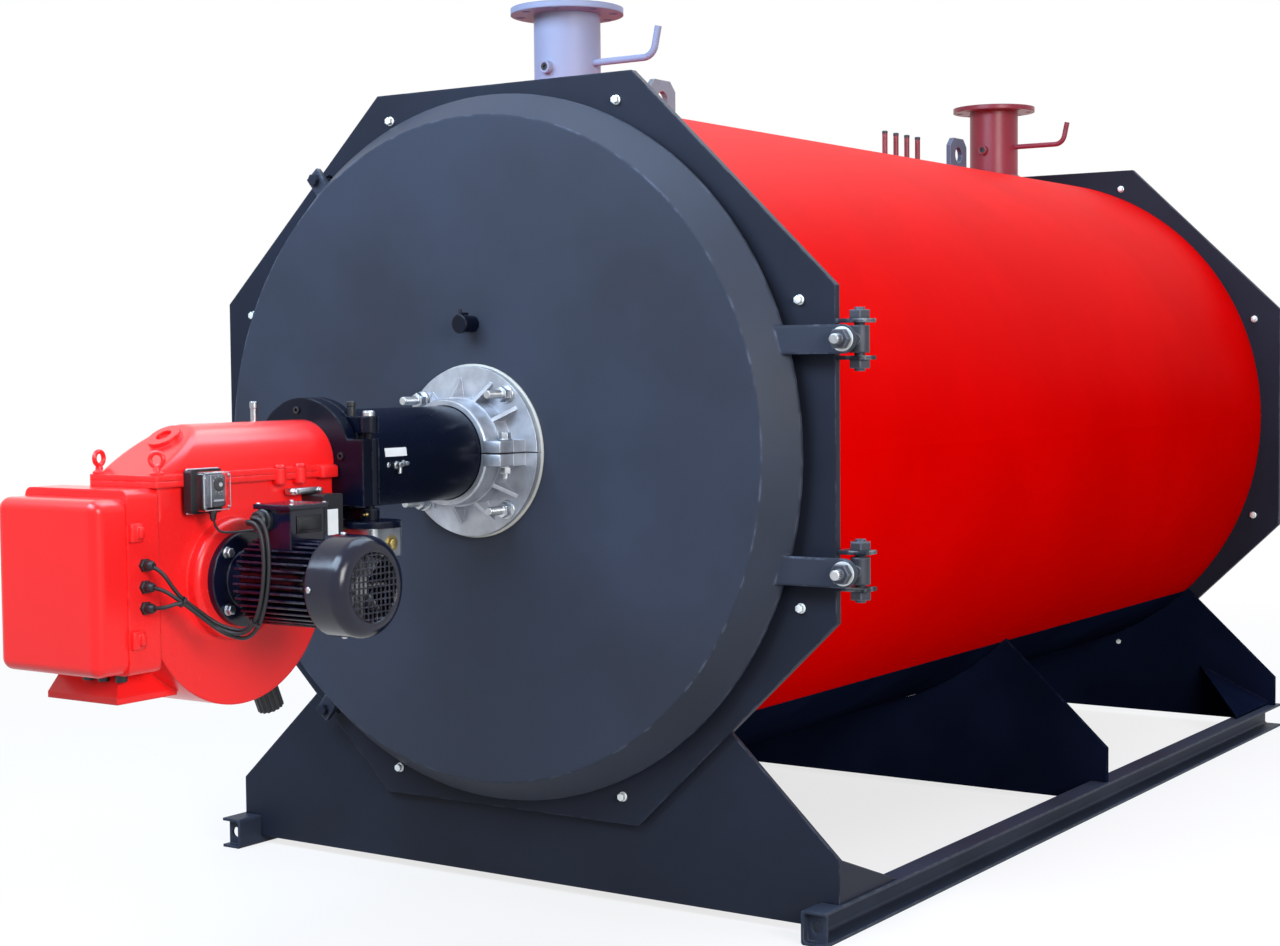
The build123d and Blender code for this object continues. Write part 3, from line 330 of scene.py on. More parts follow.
# Near-white edges at full share: a painted highlight on the hinge brackets' edges.
hinge_paint = enamel("hinge_paint", (40, 46, 60), (31, 35, 46), (206, 210, 216), gloss=0.36, dust=0.02,
                     shine=0.16, wear_and_glint=1.0, rim=0.012)
rail_paint = enamel("rail_paint", (56, 63, 80), (42, 48, 62), (126, 130, 138), gloss=0.42, dust=0.0,
                    shine=0.12)
satin_black = enamel("satin_black", (8, 14, 33), (5, 9, 22), (84, 90, 106), gloss=0.18, dust=0.0,
                     wear_and_glint=0.4, shine=0.16)
gloss_black = enamel("gloss_black", (15, 18, 42), (10, 12, 30), (96, 100, 116), gloss=0.08, dust=0.0,
                     wear_and_glint=0.4, shine=0.42)
dark_paints = (slate, navy, shaded_navy, hinge_paint, rail_paint, satin_black, gloss_black)
print("dark paints:", [paint.name for paint in dark_paints])

# %% Reds and primers
red = enamel("red_enamel", (228, 1, 1), (218, 0, 0), (236, 40, 38), gloss=0.42, dust=0.0, wear_and_glint=0.2,
             shine=0.0, sheen_up=0.34, coat_gloss=0.43)
burner_red = enamel("burner_red", (255, 38, 39), (252, 32, 33), (255, 120, 116), gloss=0.18, dust=0.0,
                    wear_and_glint=0.25, shine=0.28, coat=0.14, sheen_up=0.75, coat_gloss=0.28)
pale_primer = enamel("pale_primer", (150, 156, 184), (136, 142, 172), (112, 110, 118), gloss=0.40,
                     dust=0.02)
red_primer = enamel("red_primer", (150, 46, 64), (128, 34, 50), (196, 130, 136), gloss=0.28, dust=0.02,
                    shine=0.40)
print("reds and primers:", [paint.name for paint in (red, burner_red, pale_primer, red_primer)])

# %% [markdown]
# ## Bare metals
# The burner's mounting flange is cast aluminium, grainy and dull. Bolts, studs and valve are
# zinc-plated, which is brighter, with faint crystals and dull spots. Hinge pins are dark, oiled
# steel; their bright edges are a painted highlight. Each metal is the same graph with other numbers:
# a grain that drives gloss and a bump of its own scale, and patches that drive the colour.

# %% Cast, plated and plain metal
def bare_metal(name, colour, deep, gloss, grain, depth, metal=1.0, rubbed_and_glint=1.5, rim=0.002):
    steel = Finish(name, metallic=metal)
    grainy = steel.noise(scale=grain, detail=6.0)
    patch = steel.noise(scale=grain * 0.06, detail=4.0)
    rounded, edge = steel.edge(rim)
    body = steel.mix(steel.ramp(patch, (0.34, 0.0), (0.68, 1.0)), tint(*deep), tint(*colour))
    # Edges lighten towards a brighter copy of the colour: polish on plated edges, and a painted
    # highlight where the share is large, as on the dark steel.
    polished_and_glint = [min(1.0, part * rubbed_and_glint) for part in tint(*colour)[:3]]
    steel.put(base_color=steel.mix((edge * 2.0).at_most(1.0) * 0.5, body, (*polished_and_glint, 1.0)))
    steel.put(roughness=gloss + grainy * 0.16 + patch * 0.08)
    steel.bump(grainy, distance=depth, strength=0.7, normal=rounded)
    return steel.material


aluminium = bare_metal("cast_aluminium", (190, 194, 202), (152, 155, 163), gloss=0.30, grain=260.0,
                       depth=0.0006, metal=0.7)
zinc = bare_metal("zinc_plate", (206, 210, 214), (150, 154, 160), gloss=0.20, grain=190.0, depth=0.0002)
bright_zinc = bare_metal("bright_zinc", (240, 244, 244), (214, 220, 222), gloss=0.30, grain=190.0,
                         depth=0.0001, metal=0.55)
plain_steel = bare_metal("plain_steel", (120, 118, 116), (84, 80, 78), gloss=0.36, grain=90.0,
                         depth=0.0004, metal=0.85)
# Edges nine times brighter: a painted highlight on the hinge pins, eye bolts and sensor caps.
dark_steel = bare_metal("dark_steel", (66, 69, 78), (44, 47, 56), gloss=0.34, grain=120.0,
                        depth=0.0003, metal=0.5, rubbed_and_glint=9.0, rim=0.006)
brass = bare_metal("brass", (196, 176, 116), (150, 130, 78), gloss=0.26, grain=210.0, depth=0.0002)
print("metals:", [m.name for m in (aluminium, zinc, bright_zinc, plain_steel, dark_steel, brass)])

# %% [markdown]
# ## Plastics, sheath, refractory and gasket
# Moulded plastic carries a fine spark-eroded grain. Cable sheath is duller. The door's inner
# face is cast refractory, pale and pitted, and the gasket is pressed fibre. The small pressure
# switch has a clear cap, which needs transmission, so it gets a short finish of its own.

# %% Moulded, pressed and clear finishes
def moulded(name, colour, deep, gloss, grain, depth):
    skin = Finish(name, ior=1.46)
    grainy = skin.noise(scale=grain, detail=4.0)
    cloud = skin.noise(scale=grain * 0.03, detail=3.0)
    rounded, edge = skin.edge(0.0015)
    skin.put(base_color=skin.mix(skin.ramp(cloud, (0.3, 0.0), (0.7, 1.0)), tint(*deep), tint(*colour)))
    skin.put(roughness=gloss + grainy * 0.12 - edge * 0.05)
    skin.bump(grainy, distance=depth, strength=0.6, normal=rounded)
    return skin.material


black_plastic = moulded("black_plastic", (30, 31, 36), (21, 22, 26), gloss=0.36, grain=900.0,
                        depth=0.00012)
sheath = moulded("cable_sheath", (26, 26, 30), (18, 18, 21), gloss=0.42, grain=700.0, depth=0.00010)
refractory = moulded("refractory", (206, 196, 174), (178, 166, 142), gloss=0.80, grain=70.0,
                     depth=0.0030)
gasket = moulded("gasket_sheet", (214, 212, 204), (186, 184, 176), gloss=0.78, grain=240.0, depth=0.0008)
grey_plastic = moulded("grey_plastic", (96, 98, 106), (74, 76, 84), gloss=0.38, grain=800.0,
                       depth=0.00012)
fan_plastic = moulded("fan_plastic", (176, 178, 182), (150, 152, 156), gloss=0.40, grain=500.0,
                      depth=0.0001)
pale_plastic = moulded("pale_plastic", (196, 198, 206), (170, 172, 182), gloss=0.36, grain=800.0,
                       depth=0.0001)
label_white = moulded("blank_label", (236, 236, 238), (222, 223, 226), gloss=0.42, grain=500.0,
                      depth=0.00006)
clear = Finish("clear_cap", base_color=(0.96, 0.97, 0.98, 1.0), ior=1.30, transmission_weight=1.0)
clear.put(roughness=0.02 + clear.noise(scale=160.0, detail=3.0) * 0.05)
clear_cap = clear.material
print("plastics and pressed finishes done, the last one:", clear_cap.name)

# %% [markdown]
# ## Two lugs, two paints
# The front lifting lug is painted pale, as the nozzle beside it, and the rear one dark slate. They
# are one CAD node, so the paint changes half-way along the drum, read from the Object coordinates.

# %% Paint that changes along the drum
PAINT_CHANGE = spot(0, 1600, 0).y
lugs = Finish("lug_paint", ior=1.5)
rear = lugs.node("ShaderNodeSeparateXYZ", {}, {"Vector": lugs.place}, 1) > PAINT_CHANGE
mottle = lugs.noise(scale=30.0, detail=5.0)
pale_lug = lugs.mix(mottle, tint(118, 126, 140), tint(146, 154, 168))
dark_lug = lugs.mix(mottle, tint(62, 70, 92), tint(86, 96, 124))
lug_round, lug_rim = lugs.edge(0.003)
both = lugs.mix(rear, pale_lug, dark_lug)
lugs.put(base_color=lugs.mix((lug_rim * 2.0).at_most(1.0), both, tint(196, 198, 206)))
lugs.put(roughness=0.36 + mottle * 0.14)
lugs.bump(lugs.noise(scale=300.0), distance=0.0002, strength=0.6, normal=lug_round)
lug_paint = lugs.material
print("lug paint changes at", round(PAINT_CHANGE, 3))

# %% [markdown]
# ## Finishes on the CAD pieces
# A CAD node keeps its mesh and only takes a material. One table says which node carries which
# finish, as a paint schedule in a workshop does.

# %% The paint schedule
SCHEDULE = (
    (slate, "front_door"),
    (navy, "front_plate rear_plate front_support closing_bolts"),
    # The hinge brackets' near-white edges are a painted highlight.
    (hinge_paint, "hinge_brackets"),
    # Painted shade: the parts in shadow under the drum take the darker navy.
    (shaded_navy, "mid_support rear_support belly_sheet pressure_shell"),
    (red, "cladding"),
    (rail_paint, "left_rail right_rail"),
    (plain_steel, "front_tube_plate furnace_tube flue_outlet"),
    (pale_primer, "supply_nozzle"),
    (red_primer, "return_nozzle sensor_stubs"),
    (lug_paint, "lifting_lugs"),
    (dark_steel, "hinge_pins eye_bolts"),
    (zinc, "gas_valve"),
    (refractory, "door_lining"),
    (gasket, "mount_gasket"),
    (aluminium, "upper_mount_half lower_mount_half"),
    (satin_black, "blast_tube hinge_post valve_disc swing_ring peep_stub"),
    (gloss_black, "motor_body motor_cowl terminal_box"),
    (burner_red, "burner_housing top_cover control_box control_lid"),
    (black_plastic, "servo_box damper_knob pressure_switch"),
    (clear_cap, "switch_cover"),
    (sheath, "upper_lead middle_lead lower_lead switch_lead"),
)
dressed = set()
for finish, names in SCHEDULE:
    for name in names.split():
        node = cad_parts[name]
        node.data.materials.clear()
        node.data.materials.append(finish)
        dressed.add(name)
print("nodes with a finish:", len(dressed), "left:", sorted(set(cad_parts) - dressed))

# %% [markdown]
# ## The leads
# Three motor leads leave the control box through glands, hang in one loose bundle under the
# motor's terminal box and rise into its end. A thin lead joins the pressure switch to the
# terminal box. A lead is a curve: its NURBS spline takes the route's points as control points,
# so it bends as a stiff cable does, with no corners.

# %% Cables as NURBS curves
def lead(name, node, points, diameter):
    curve = bpy.data.curves.new(name, "CURVE")
    curve.dimensions = "3D"
    curve.bevel_depth, curve.bevel_resolution = diameter / 2, 4
    curve.resolution_u, curve.use_fill_caps = 12, True
    spline = curve.splines.new("NURBS")
    spline.points.add(len(points) - 1)
    for point, place in zip(spline.points, points):
        point.co = (*place, 1.0)
    spline.order_u = 3
    spline.use_endpoint_u = True
    curve.materials.append(sheath)
    cable = bpy.data.objects.new(name, curve)
    scene.collection.objects.link(cable)
    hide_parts(node)
    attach(cable, "burner")
    return cable


print("leads are NURBS curves in", sheath.name)

# %% The motor's three leads
GLAND_X, GLAND_Y = 90, -1245
END_X, END_Y, END_Z = 224, -1053, -96
MOTOR_LEAD = 0.008
MOTOR_LEADS = (("upper", -174, 0.5794), ("middle", -216, 0.5882), ("lower", -257, 0.6094))
# Three leads in one bundle lie as a triangle: two side by side and the middle one in front.
BUNDLE = ((-4.6, 2.7), (0.0, -5.4), (7.0, 1.6))


def motor_route(number, gland_z):
    side, fore = BUNDLE[number]
    end_x, end_z = END_X + side, END_Z + side
    low = -side * 1.3
    return [spot(GLAND_X, GLAND_Y, gland_z), spot(132 + side / 2, GLAND_Y, gland_z),
            spot(148 + side, -1213 + fore, -237 - side), spot(159 + side, -1190 + fore, -258 - side),
            spot(182 + side, -1131 + fore, -309 + low), spot(250 + side / 2, -1117 + fore, -314 + low),
            spot(289 + side, -1117 + fore, -220), spot(285 + side, -1118 + fore, end_z + 2),
            spot(end_x, -1118 + fore, end_z + 2), spot(end_x, END_Y, end_z)]


motor_cables = []
for number, (name, gland_z, length) in enumerate(MOTOR_LEADS):
    route = motor_route(number, gland_z)
    cable = lead(name + "_motor_cable", name + "_lead", route, MOTOR_LEAD)
    motor_cables.append(cable)
print("motor leads:", [cable.name for cable in motor_cables])

# %% The switch's lead
SWITCH_LEAD = 0.005
switch_route = [spot(130, -1100, -78), spot(130, -1100, -116), spot(147, -1066, -123.5),
                spot(204.5, -1032.5, -113.5)]
thin = lead("switch_cable", "switch_lead", switch_route, SWITCH_LEAD)
print("switch lead:", thin.name)

# %% [markdown]
# ## Shapes for small fittings
# Fasteners, glands and caps are turned on a lathe, cut from hexagon bar or moulded as rounded
# blocks, and Blender has an operator for each: a spun profile, a six-sided cone with a bevel,
# and a bevelled cube. Each is made upright at the origin, then stood where it belongs. Joining
# copies of these shapes keeps every fitting editable, which hand-typed vertices wouldn't.

# %% Turned, hexagon and block shapes
def turned(profile, steps=24):
    # A profile of radius and height pairs, in millimetres, spun about the upright axis.
    shape = bmesh.new()
    line = [shape.verts.new((radius * MM, 0.0, height * MM)) for radius, height in profile]
    rims = [shape.edges.new(pair) for pair in zip(line, line[1:])]
    bmesh.ops.spin(shape, geom=line + rims, cent=(0, 0, 0), axis=(0, 0, 1), angle=math.tau,
                   steps=steps, use_merge=True)
    return shape


def hexagon(flats, height, chamfer=1.2):
    shape = bmesh.new()
    corner = flats * MM / math.sqrt(3)
    bmesh.ops.create_cone(shape, cap_ends=True, segments=6, radius1=corner, radius2=corner,
                          depth=height * MM)
    bmesh.ops.translate(shape, verts=shape.verts, vec=(0, 0, height * MM / 2))
    middle = height * MM / 2
    top = [edge for edge in shape.edges if min(vert.co.z for vert in edge.verts) > middle]
    bmesh.ops.bevel(shape, geom=top, offset=chamfer * MM, affect="EDGES", segments=2, profile=0.5,
                    material=-1)
    return shape


def block(wide, deep, high, radius, segments=2):
    shape = bmesh.new()
    bmesh.ops.create_cube(shape, size=1.0)
    bmesh.ops.scale(shape, vec=Vector((wide, deep, high)) * MM, verts=shape.verts)
    bmesh.ops.bevel(shape, geom=shape.edges[:], offset=radius * MM, affect="EDGES",
                    segments=segments, profile=0.5, material=-1)
    return shape


def ring(inner, outer, thick, steps=24):
    return turned([(inner, 0), (outer, 0), (outer, thick), (inner, thick), (inner, 0)], steps)


def torus(major, minor, steps=28):
    sides = 10
    turns = [number * math.tau / sides for number in range(sides + 1)]
    return turned([(major + minor * math.cos(turn), minor * math.sin(turn)) for turn in turns], steps)


print("shapes ready: turned, hexagon, block, ring, torus")


# %% Standing a shape in its place
def set_in(whole, made, place, axis=UP, finish=0):
    bmesh.ops.remove_doubles(made, verts=made.verts, dist=1e-6)
    bmesh.ops.recalc_face_normals(made, faces=made.faces)
    stand = UP.rotation_difference(axis).to_matrix().to_4x4()
    bmesh.ops.transform(made, matrix=Matrix.Translation(place) @ stand, verts=made.verts)
    for face in made.faces:
        face.material_index = finish
    carrier = bpy.data.meshes.new("carrier")
    made.to_mesh(carrier)
    made.free()
    whole.from_mesh(carrier)
    bpy.data.meshes.remove(carrier)


def fitting(name, whole, body, *finishes):
    mesh = bpy.data.meshes.new(name)
    whole.to_mesh(mesh)
    whole.free()
    for finish in finishes:
        mesh.materials.append(finish)
    mesh.shade_smooth()
    mesh.set_sharp_from_angle(angle=math.radians(32))
    made = bpy.data.objects.new(name, mesh)
    scene.collection.objects.link(made)
    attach(made, body)
    print(name, "rides on", body, "faces:", len(mesh.polygons))
    return made


print("fitting tools ready")


# %% Threads and bolts
def thread(radius, length, pitch=2.5):
    turns = int(length / pitch)
    ridge = [(radius - (0.0 if step % 2 else 0.8), step * pitch / 2) for step in range(turns * 2)]
    return turned([(0, 0), *ridge, (radius - 1.5, length), (0, length)], 14)


def bolt(whole, place, axis, flats, stub=0.0):
    # A washer, a hexagon head or nut, and the thread end that stands out of a nut.
    thick, rim = flats * 0.14, flats * 0.66
    washer = [(0, 0), (rim, 0), (flats * 0.70, thick / 2), (rim, thick), (0, thick)]
    set_in(whole, turned(washer), place, axis)
    set_in(whole, hexagon(flats, flats * 0.62), place + axis * thick * MM, axis)
    if stub:
        set_in(whole, thread(flats * 0.33, stub), place + axis * flats * 0.7 * MM, axis)


def round_axis(reach, degrees, y):
    # A place at some reach from the drum's axis, at an angle from the right, y behind the face.
    turn = math.radians(degrees)
    return spot(reach * math.cos(turn), y, reach * math.sin(turn))


print("bolts are a washer, a hexagon and a thread")

# %% [markdown]
# ## Bolts round the end plates
# Eight bright bolts hold each octagonal plate to the frame behind it. They are zinc plated, so
# they read as bright dots on the dark paint. One loop places them on both plates,
# because the two plates share a drilling pattern.

# %% Bolts on the plates
PLATE_BOLT = 17.0
DRILLING = ((345, 818), (831, 342))
BOLT_SPOTS = [(sx * x, sz * z) for x, z in DRILLING for sx in (-1, 1) for sz in (-1, 1)]
BACK_FACE = (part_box("rear_plate")[0][1] - FACE_Y) / MM
for name, y in (("front_plate_bolts", 0.0), ("rear_plate_bolts", BACK_FACE)):
    bolts = bmesh.new()
    for x, z in BOLT_SPOTS:
        bolt(bolts, spot(x, y, z), FRONT, PLATE_BOLT)
    fitting(name, bolts, "boiler", bright_zinc)

# %% [markdown]
# ## Cap nuts for the closing bolts
# On the left, two bolts draw the door against the plate. Each runs into a cap nut that is welded
# behind the plate's hole. A cup spun from one profile is open to the front, so the bolt can
# leave it.

# %% Cap nuts behind the plate
CLOSING_REACH, CLOSING_ANGLE, CUP_Y = 878, 129.2, 6.2
CUP = [(13, 0), (23, 0), (23, 22), (20, 26), (0, 26), (0, 22), (13, 22), (13, 0)]
cups = bmesh.new()
for side in (-1, 1):
    set_in(cups, turned(CUP), round_axis(CLOSING_REACH, side * CLOSING_ANGLE, CUP_Y), BACK)
fitting("closing_nuts", cups, "boiler", navy)

# %% [markdown]
# ## Studs of the burner flange
# The cast flange is held to the door by four studs with nuts and is clamped round the blast tube
# by a bolt through each pair of lugs. The studs stand well proud of their nuts, which is easy to
# see from the side, so each one gets a real thread: a spun zigzag.

# %% Studs and clamp bolts
FLANGE_FACE, STUD_NUT, STUD_END = -134, 32.0, 52.0
STUDS = ((178, 50), (186, 139.5), (178, -50), (187, -138))
CLAMP_X, CLAMP_Y, CLAMP_Z, CLAMP_NUT = 149, -184, 30, 24.0
studs = bmesh.new()
for reach, angle in STUDS:
    bolt(studs, round_axis(reach, angle, FLANGE_FACE), FRONT, STUD_NUT, STUD_END)
for side in (-1, 1):
    bolt(studs, spot(side * CLAMP_X, CLAMP_Y, CLAMP_Z), UP, CLAMP_NUT)
    bolt(studs, spot(side * CLAMP_X, CLAMP_Y, -CLAMP_Z), DOWN, CLAMP_NUT, stub=14.0)
fitting("flange_studs", studs, "door", zinc)

# %% [markdown]
# ## The split collar
# In front of the flange, a cast collar in two halves grips the blast tube, with a pair of lugs
# each side for the clamp bolts. A spun ring is cut by a plane to leave each half, because a half
# spin would leave the ends of the two halves touching, and the slit shows on the real one.

# %% The split collar in front of the flange
COLLAR_Y, HALF_SLIT = -177, 1.5
COLLAR = [(111, 0), (126, 0), (126, 46), (123, 50), (112, 50), (111, 49), (111, 0)]
COLLAR_LUG, LUG_ROUND = (50, 52, 28), 3
LUG_X, LUG_Y, LUG_Z = 143, -203, 15.6
collar = bmesh.new()
for side in (-1, 1):
    half = turned(COLLAR, 48)
    bmesh.ops.rotate(half, verts=half.verts, matrix=Matrix.Rotation(math.pi / 2, 3, "X"))
    every = half.verts[:] + half.edges[:] + half.faces[:]
    bmesh.ops.bisect_plane(half, geom=every, plane_co=(0, 0, side * HALF_SLIT * MM),
                           plane_no=(0, 0, -side), clear_outer=True)
    bmesh.ops.holes_fill(half, edges=[edge for edge in half.edges if edge.is_boundary])
    set_in(collar, half, spot(0, COLLAR_Y, 0))
    for end in (-1, 1):
        set_in(collar, block(*COLLAR_LUG, LUG_ROUND), spot(end * LUG_X, LUG_Y, side * LUG_Z))
fitting("mount_collar", collar, "door", aluminium)

# %% [markdown]
# ## Thread ends on the hinges
# Each door hinge is an eye bolt with a nut, and its bare thread end and bright washer catch the
# light in front of the dark strap. The burner's post has a plain plated top. A spun zigzag,
# a spun ring and a spun cap are all they need.

# %% Thread ends and washers
HINGE_X, HINGE_Z = 965, 254
THREAD_Y, WASHER_Y = -73, -52.2
POST_TOP = spot(152, -662, 98)
POST_CAP = [(0, 0), (13.6, 0), (13.6, 9), (11, 12), (0, 12)]
BRIGHT_SLOT = 1
hinge_ends = bmesh.new()
for z in (-HINGE_Z, HINGE_Z):
    set_in(hinge_ends, thread(11.4, 20), spot(HINGE_X, THREAD_Y, z), FRONT)
    set_in(hinge_ends, ring(12, 27, 3, 28), spot(HINGE_X, WASHER_Y, z), FRONT, finish=BRIGHT_SLOT)
set_in(hinge_ends, turned(POST_CAP, 20), POST_TOP)
fitting("pale_thread_ends", hinge_ends, "door", zinc, bright_zinc)

# %% [markdown]
# ## The peep hole's cap
# The sight hole in the door is closed by a swinging cap with a small lever.
# A spun cap with a soft edge and a rounded block for the lever are enough at this size.

# %% Cap and lever
PEEP_CAP = [(0, 0), (22, 0), (23, 2), (23, 8), (21, 10), (0, 10)]
PEEP_LEVER = [(0, 0), (4, 0), (4, 16), (3, 18), (0, 18)]
PEEP_LOW, PEEP_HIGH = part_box("peep_stub")
PEEP_Z = ((PEEP_LOW[2] + PEEP_HIGH[2]) / 2 - AXIS_Z) / MM
PEEP_END = -156
peep = bmesh.new()
set_in(peep, turned(PEEP_CAP, 32), spot(0, PEEP_END, PEEP_Z), FRONT)
set_in(peep, block(9, 26, 6, 1.5), spot(0, PEEP_END + 10, PEEP_Z + 24))
set_in(peep, turned(PEEP_LEVER, 14), spot(0, PEEP_END - 4, PEEP_Z + 16))
fitting("peep_cap", peep, "door", satin_black)

# %% [markdown]
# ## Cable glands and clips on the control box
# A cable enters the box through a plastic gland: a hexagon foot and a domed cap nut. The lid is
# held by moulded clips on the seam. A gland is a hexagon with a spun dome, and a clip two
# rounded blocks.

# %% Glands
LEAD_DOME = [(0, 8), (10.5, 8), (10.5, 17), (9, 23), (6, 27), (0, 27)]
MOTOR_DOME = [(0, 0), (23, 0), (23, 8), (20, 10), (20, 20), (17, 24), (0, 24)]
SWITCH_DOME = [(0, 6), (6.5, 6), (6.5, 13), (4, 19), (0, 19)]
glands = bmesh.new()
for name, gland_z, length in MOTOR_LEADS:
    set_in(glands, hexagon(24, 8), spot(GLAND_X, GLAND_Y, gland_z), RIGHT)
    set_in(glands, turned(LEAD_DOME, 20), spot(GLAND_X, GLAND_Y, gland_z), RIGHT)
set_in(glands, turned(MOTOR_DOME, 28), spot(END_X, END_Y, END_Z), FRONT)
set_in(glands, hexagon(15, 6), switch_route[0], DOWN)
set_in(glands, turned(SWITCH_DOME, 18), switch_route[0], DOWN)
fitting("cable_glands", glands, "burner", black_plastic)

# %% Clips on the lid's seam
CLIP_X, CLIP_Y, CLIP_ROWS = 94, -1268, (-110, -317)
clips = bmesh.new()
for z in CLIP_ROWS:
    set_in(clips, block(12, 30, 36, 2), spot(CLIP_X, CLIP_Y, z))
    set_in(clips, block(10, 12, 22, 2), spot(CLIP_X + 8, CLIP_Y + 6, z))
fitting("lid_clips", clips, "burner", burner_red)

# %% [markdown]
# ## Rubber pads and black eyelets
# Three rubber pads carry the control box, black eyelets stand round the swing ring, and a stepped
# panel closes the end of the terminal box. They share one dull black, so they are joined, from
# spun profiles and rounded blocks.

# %% Pads, eyelets and the terminal box's panel
PADS, PAD_Z = ((-47, -1268), (-7, -1266), (33, -1257)), -403
PAD = [(0, 0), (11, 0), (12, 4), (12, 15), (0, 15)]
EYELET_REACH, EYELET_START, EYELET_Y = 112, 7, -706
PANEL_X, PANEL_Y, PANEL_Z = 294, -1002, -104
rubber = bmesh.new()
for x, y in PADS:
    set_in(rubber, turned(PAD, 20), spot(x, y, PAD_Z))
for quarter in range(4):
    eyelet_spot = round_axis(EYELET_REACH, EYELET_START + quarter * 90, EYELET_Y)
    set_in(rubber, ring(4, 8, 4, 18), eyelet_spot, FRONT)
set_in(rubber, block(3, 70, 34, 1.2), spot(PANEL_X, PANEL_Y, PANEL_Z))
set_in(rubber, block(3, 58, 22, 1.2), spot(PANEL_X + 1.5, PANEL_Y, PANEL_Z))
fitting("rubber_fittings", rubber, "burner", black_plastic)

# %% [markdown]
# ## Cable ties
# Two plastic ties hold the motor leads together. A tie is a thin band round the bundle with a small
# square head. Its place is read from the leads' own curves, so that it stays round them:
# each curve is copied with no thickness and turned into points.

# %% Ties round the bundle
def line_points(cable):
    bare = cable.data.copy()
    bare.bevel_depth = 0.0
    bare.use_fill_caps = False
    holder = bpy.data.objects.new("bare_line", bare)
    line = bpy.data.meshes.new_from_object(holder)
    points = [vertex.co.copy() for vertex in line.vertices]
    bpy.data.meshes.remove(line)
    bpy.data.objects.remove(holder)
    bpy.data.curves.remove(bare)
    return points


TIE_SPOTS = (spot(152, -1204, -243), spot(262, -1117, -292))
TIE_BAND = [(10, -2.5), (11.4, -2.5), (11.4, 2.5), (10, 2.5), (10, -2.5)]
TIE_HEAD_OUT = 13
lines = [line_points(cable) for cable in motor_cables]
ties = bmesh.new()
for place in TIE_SPOTS:
    near = [min(range(1, len(line) - 1), key=lambda at: (line[at] - place).length) for line in lines]
    centre = sum((line[at] for line, at in zip(lines, near)), Vector()) / len(lines)
    steps = (line[at + 1] - line[at - 1] for line, at in zip(lines, near))
    along = sum(steps, Vector()).normalized()
    set_in(ties, turned(TIE_BAND), centre, along)
    set_in(ties, block(6, 7, 6, 1), centre + along.cross(UP).normalized() * TIE_HEAD_OUT * MM)
fitting("cable_ties", ties, "burner", black_plastic)

# %% [markdown]
# ## Fittings on the burner's cover
# Two red eye bolts lift the cover, bosses with caps hold it to the housing, and a rounded cheek
# closes each side. A torus on a spun foot gives the eye, as it is forged.

# %% Eye bolts and bosses
EYES = ((80, -1198, Vector((0.45, -0.89, 0))), (-78, -1203, Vector((0.99, 0.14, 0))))
EYE_FOOT = [(0, 0), (13, 0), (13, 6), (8, 9), (7, 16), (0, 16)]
EYE_FOOT_Z, EYE_Z = -5, 27
BOSS = [(0, 0), (10, 0), (15, 4), (15, 35), (0, 35)]
BOSS_CAP = [(0, 0), (14, 0), (14, 4), (12, 7), (0, 7)]
BOSS_X, BOSS_ROWS, BOSS_Z, BOSS_CAP_Z = 91, (-873, -813), -40, -4
CHEEK_X, CHEEK_Y, CHEEK_Z = 96, -733, -18
eyes = bmesh.new()
for x, y, face in EYES:
    set_in(eyes, turned(EYE_FOOT, 20), spot(x, y, EYE_FOOT_Z))
    set_in(eyes, torus(13.5, 4.8), spot(x, y, EYE_Z), face)
for side in (-1, 1):
    for y in BOSS_ROWS:
        set_in(eyes, turned(BOSS, 20), spot(side * BOSS_X, y, BOSS_Z))
        set_in(eyes, turned(BOSS_CAP, 20), spot(side * BOSS_X, y, BOSS_CAP_Z))
    set_in(eyes, block(20, 50, 26, 4), spot(side * CHEEK_X, CHEEK_Y, CHEEK_Z))
fitting("cover_fittings", eyes, "burner", burner_red)

# %% [markdown]
# ## Plated fittings round the motor
# A test nipple stands behind the cover, a bright bar is screwed to the housing over the motor,
# four bolts hold the motor's flange, and screws hold the cowl and the terminal box's lid. They
# share one finish, so they are one joined piece.

# %% Nipple, bar, bolts and screws
MOTOR_Y, MOTOR_Z = -1005, -220
FLANGE_X, FLANGE_REACH, FLANGE_BOLT = 128, 57, 17.0
COWL_X, COWL_REACH = 385, 100
BAR_X, BAR_Y, BAR_Z, BAR_REACH, BAR_BOLT = 100, -812, -54, 36, 10.0
LID_XS, LID_YS, LID_Z = (206, 294), (-1052, -958), -64
NIPPLE = [(0, 0), (7, 0), (7, 50), (8.5, 51), (8.5, 63), (7, 65), (0, 65)]
COWL_SCREW = [(0, 0), (6.5, 0), (6, 2.5), (3, 4), (0, 4)]
LID_SCREW = [(0, 0), (4.5, 0), (4, 2), (0, 2.5)]
plated = bmesh.new()
set_in(plated, turned(NIPPLE, 20), spot(-50, -800, 67))
set_in(plated, block(24, 92, 14, 6, 3), spot(BAR_X, BAR_Y, BAR_Z))
for y in (BAR_Y - BAR_REACH, BAR_Y + BAR_REACH):
    bolt(plated, spot(BAR_X + 11, y, BAR_Z), RIGHT, BAR_BOLT)
for y in (MOTOR_Y - FLANGE_REACH, MOTOR_Y + FLANGE_REACH):
    for z in (MOTOR_Z + FLANGE_REACH, MOTOR_Z - FLANGE_REACH):
        bolt(plated, spot(FLANGE_X, y, z), RIGHT, FLANGE_BOLT)
for axis in (FRONT, BACK, DOWN, UP):
    screw_spot = spot(COWL_X, MOTOR_Y, MOTOR_Z) + axis * COWL_REACH * MM
    set_in(plated, turned(COWL_SCREW, 16), screw_spot, axis)
for x in LID_XS:
    for y in LID_YS:
        set_in(plated, turned(LID_SCREW, 14), spot(x, y, LID_Z))
fitting("plated_fittings", plated, "burner", zinc)

